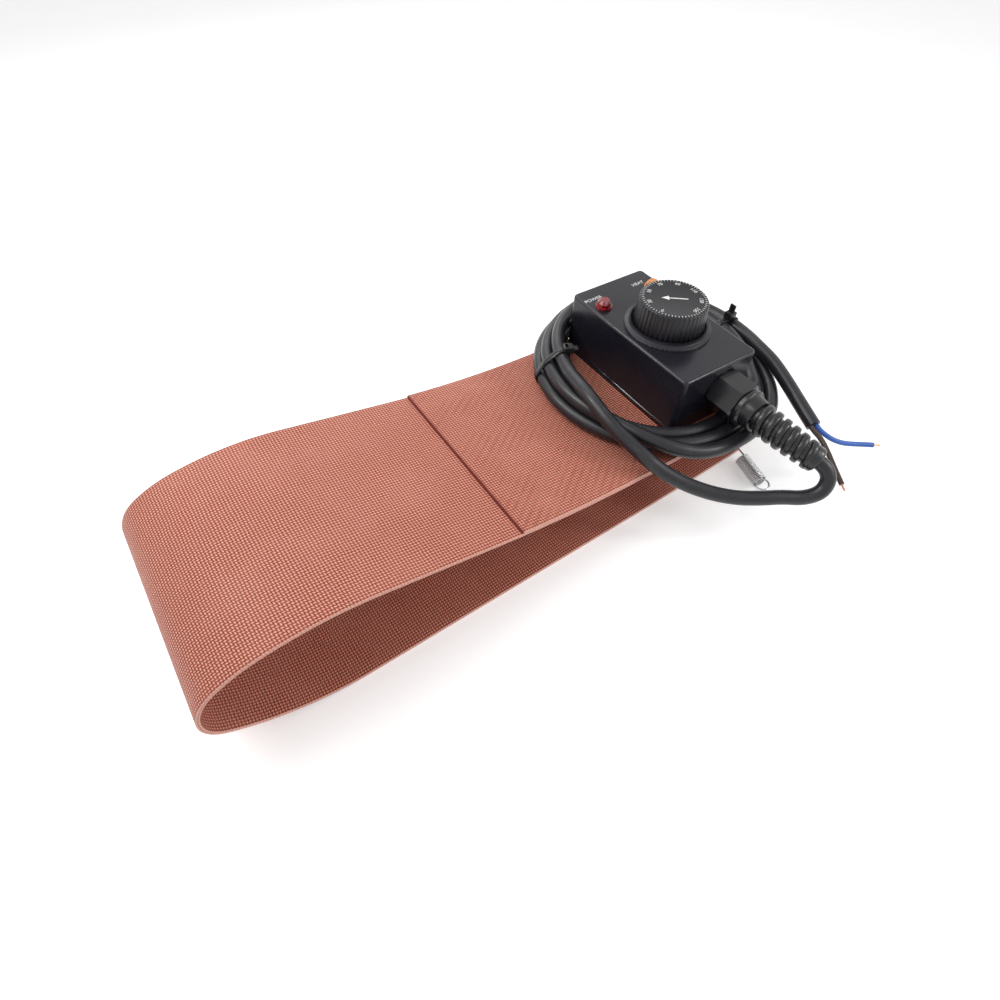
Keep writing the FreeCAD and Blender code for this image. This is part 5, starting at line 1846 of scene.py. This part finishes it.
@dataclass
class Studio:
    """A white floor, soft lamps and the photograph's camera, in millimetres."""

    place: Vector = field(default_factory=lambda: Vector((-91.83, -172.43, 261.0)))
    right: Vector = field(default_factory=lambda: Vector((0.83057, -0.55673, -0.01432)))
    down: Vector = field(default_factory=lambda: Vector((-0.44857, -0.65353, -0.60967)))
    lens: float = 23.09
    ambient: float = 0.55
    backdrop: float = 0.32
    object_middle: tuple = (40.0, 0.0, 20.0)
    box_middle: tuple = (118.0, 0.0, 50.0)

    def camera(self) -> None:
        """Stand the camera where the photograph was taken."""
        data = bpy.data.cameras.new("photo_camera")
        data.lens = self.lens
        data.sensor_width = 36.0
        data.clip_start = 0.01
        view = bpy.data.objects.new("photo_camera", data)
        bpy.context.scene.collection.objects.link(view)
        across = self.right.normalized()
        up = (-self.down - across * (-self.down).dot(across)).normalized()
        back = across.cross(up)
        turn = Matrix((across, up, back)).transposed().to_4x4()
        view.matrix_world = Matrix.Translation(self.place * MM) @ turn
        bpy.context.scene.camera = view

    def world(self) -> None:
        """Plain white to the camera and in reflections, softer as light."""
        world = bpy.data.worlds.new("studio")
        bpy.context.scene.world = world
        world.use_nodes = True
        tree = world.node_tree
        tree.nodes.clear()
        rays = tree.nodes.new("ShaderNodeLightPath")
        plain = tree.nodes.new("ShaderNodeBackground")
        plain.inputs["Color"].default_value = (1.0, 1.0, 1.0, 1.0)
        light = tree.nodes.new("ShaderNodeBackground")
        light.inputs["Color"].default_value = (1.0, 1.0, 1.0, 1.0)
        light.inputs["Strength"].default_value = self.ambient
        mix = tree.nodes.new("ShaderNodeMixShader")
        output = tree.nodes.new("ShaderNodeOutputWorld")
        seen = rays.outputs["Is Camera Ray"]
        for kind in ("Is Glossy Ray", "Is Transmission Ray"):
            either = tree.nodes.new("ShaderNodeMath")
            either.operation = "MAXIMUM"
            tree.links.new(seen, either.inputs[0])
            tree.links.new(rays.outputs[kind], either.inputs[1])
            seen = either.outputs[0]
        tree.links.new(seen, mix.inputs[0])
        tree.links.new(light.outputs[0], mix.inputs[1])
        tree.links.new(plain.outputs[0], mix.inputs[2])
        tree.links.new(mix.outputs[0], output.inputs["Surface"])

    def lamp(self, name: str, place: Vector, target: Vector, size: float, power: float) -> None:
        """A square soft lamp aimed at a point, all in millimetres and watts.

        Args:
            name: The lamp's name.
            place: Where it stands.
            target: What it faces.
            size: Its side.
            power: Its power.
        """
        data = bpy.data.lights.new(name, "AREA")
        data.shape = "SQUARE"
        data.size = size * MM
        data.energy = power
        lamp = bpy.data.objects.new(name, data)
        bpy.context.scene.collection.objects.link(lamp)
        lamp.location = place * MM
        lamp.rotation_euler = (target - place).to_track_quat("-Z", "Y").to_euler()

    def floor(self) -> None:
        """A pale floor that stands just under the part."""
        work = bmesh.new()
        bmesh.ops.create_grid(work, x_segments=1, y_segments=1, size=3.0)
        bmesh.ops.translate(work, vec=(0.0, 0.0, -0.0001), verts=work.verts)
        graph = ShaderGraph("floor_white")
        mottle = graph.noise(60.0, 2.0)
        rays = graph.tree.nodes.new("ShaderNodeLightPath").outputs
        seen = graph.math("MAXIMUM", rays["Is Camera Ray"], graph.math(
            "MAXIMUM", rays["Is Glossy Ray"], rays["Is Transmission Ray"]))
        graph.shade(Base_Color=graph.mix(mottle, (0.93, 0.93, 0.93), (0.96, 0.96, 0.96)), Roughness=0.9,
                    Specular_IOR_Level=0.1, Emission_Color=(1.0, 1.0, 1.0),
                    Emission_Strength=graph.math("MULTIPLY", seen, self.backdrop))
        mesh = finished(work, "floor")
        mesh.materials.append(graph.material)
        floor = bpy.data.objects.new("floor", mesh)
        bpy.context.scene.collection.objects.link(floor)

    def build(self) -> None:
        """Set the view transform, the camera, the background and the lamps."""
        bpy.context.scene.view_settings.view_transform = "Standard"
        self.camera()
        self.world()
        self.floor()
        for name, place, target, size, power in (
                ("key_softbox", (-260.0, 220.0, 620.0), self.object_middle, 520.0, 2.3),
                ("fill_softbox", (420.0, -420.0, 380.0), self.object_middle, 420.0, 0.9),
                ("back_softbox", (200.0, 520.0, 420.0), self.object_middle, 420.0, 0.8),
                ("left_strip", (-188.0, 250.0, 355.0), self.box_middle, 60.0, 0.34),
                ("front_strip", (423.0, -306.0, 300.0), self.box_middle, 60.0, 0.36)):
            self.lamp(name, Vector(place), Vector(target), size, power)


def main() -> None:
    """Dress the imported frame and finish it."""
    logging.basicConfig(level=logging.INFO, format="%(name)s: %(message)s")
    for thing in list(bpy.data.objects):
        bpy.data.objects.remove(thing)
    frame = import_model()
    nodes = frame["nodes"]
    line = StrapLine()
    box_frame = line.frame(line.length - BOX_FROM_END, BOX_DEPTH, BOX_ACROSS)
    PlainDress().build(nodes)
    strap = Strap(line)
    strap.build()
    ThermostatBox(box_frame).build(nodes)
    Knob(box_frame).build()
    guard = BendGuard(box_frame)
    guard.build()
    cable = CoiledCable(box_frame, guard)
    nylon = Moulding("tie_nylon", (0.008, 0.008, 0.009), 0.28, dust=0.02).build()
    cable.build([CableTie(cable, 157.0, 47.4, False, "tie_left").build(nylon),
                 CableTie(cable, -2.0, 52.4, True, "tie_back").build(nylon)])
    eyelet = line.point(strap.eyelet_inset, 0.0, -SPRING_ACROSS)
    for body, side, mirrored in ((Body.SPRING_NEAR, -1, False), (Body.SPRING_FAR, 1, True)):
        foot = Vector((eyelet.x, side * SPRING_ACROSS, 0.0))
        HookedSpring(body, body.value, foot, mirrored).build()
    Studio().build()


if __name__ == "__main__":
    main()
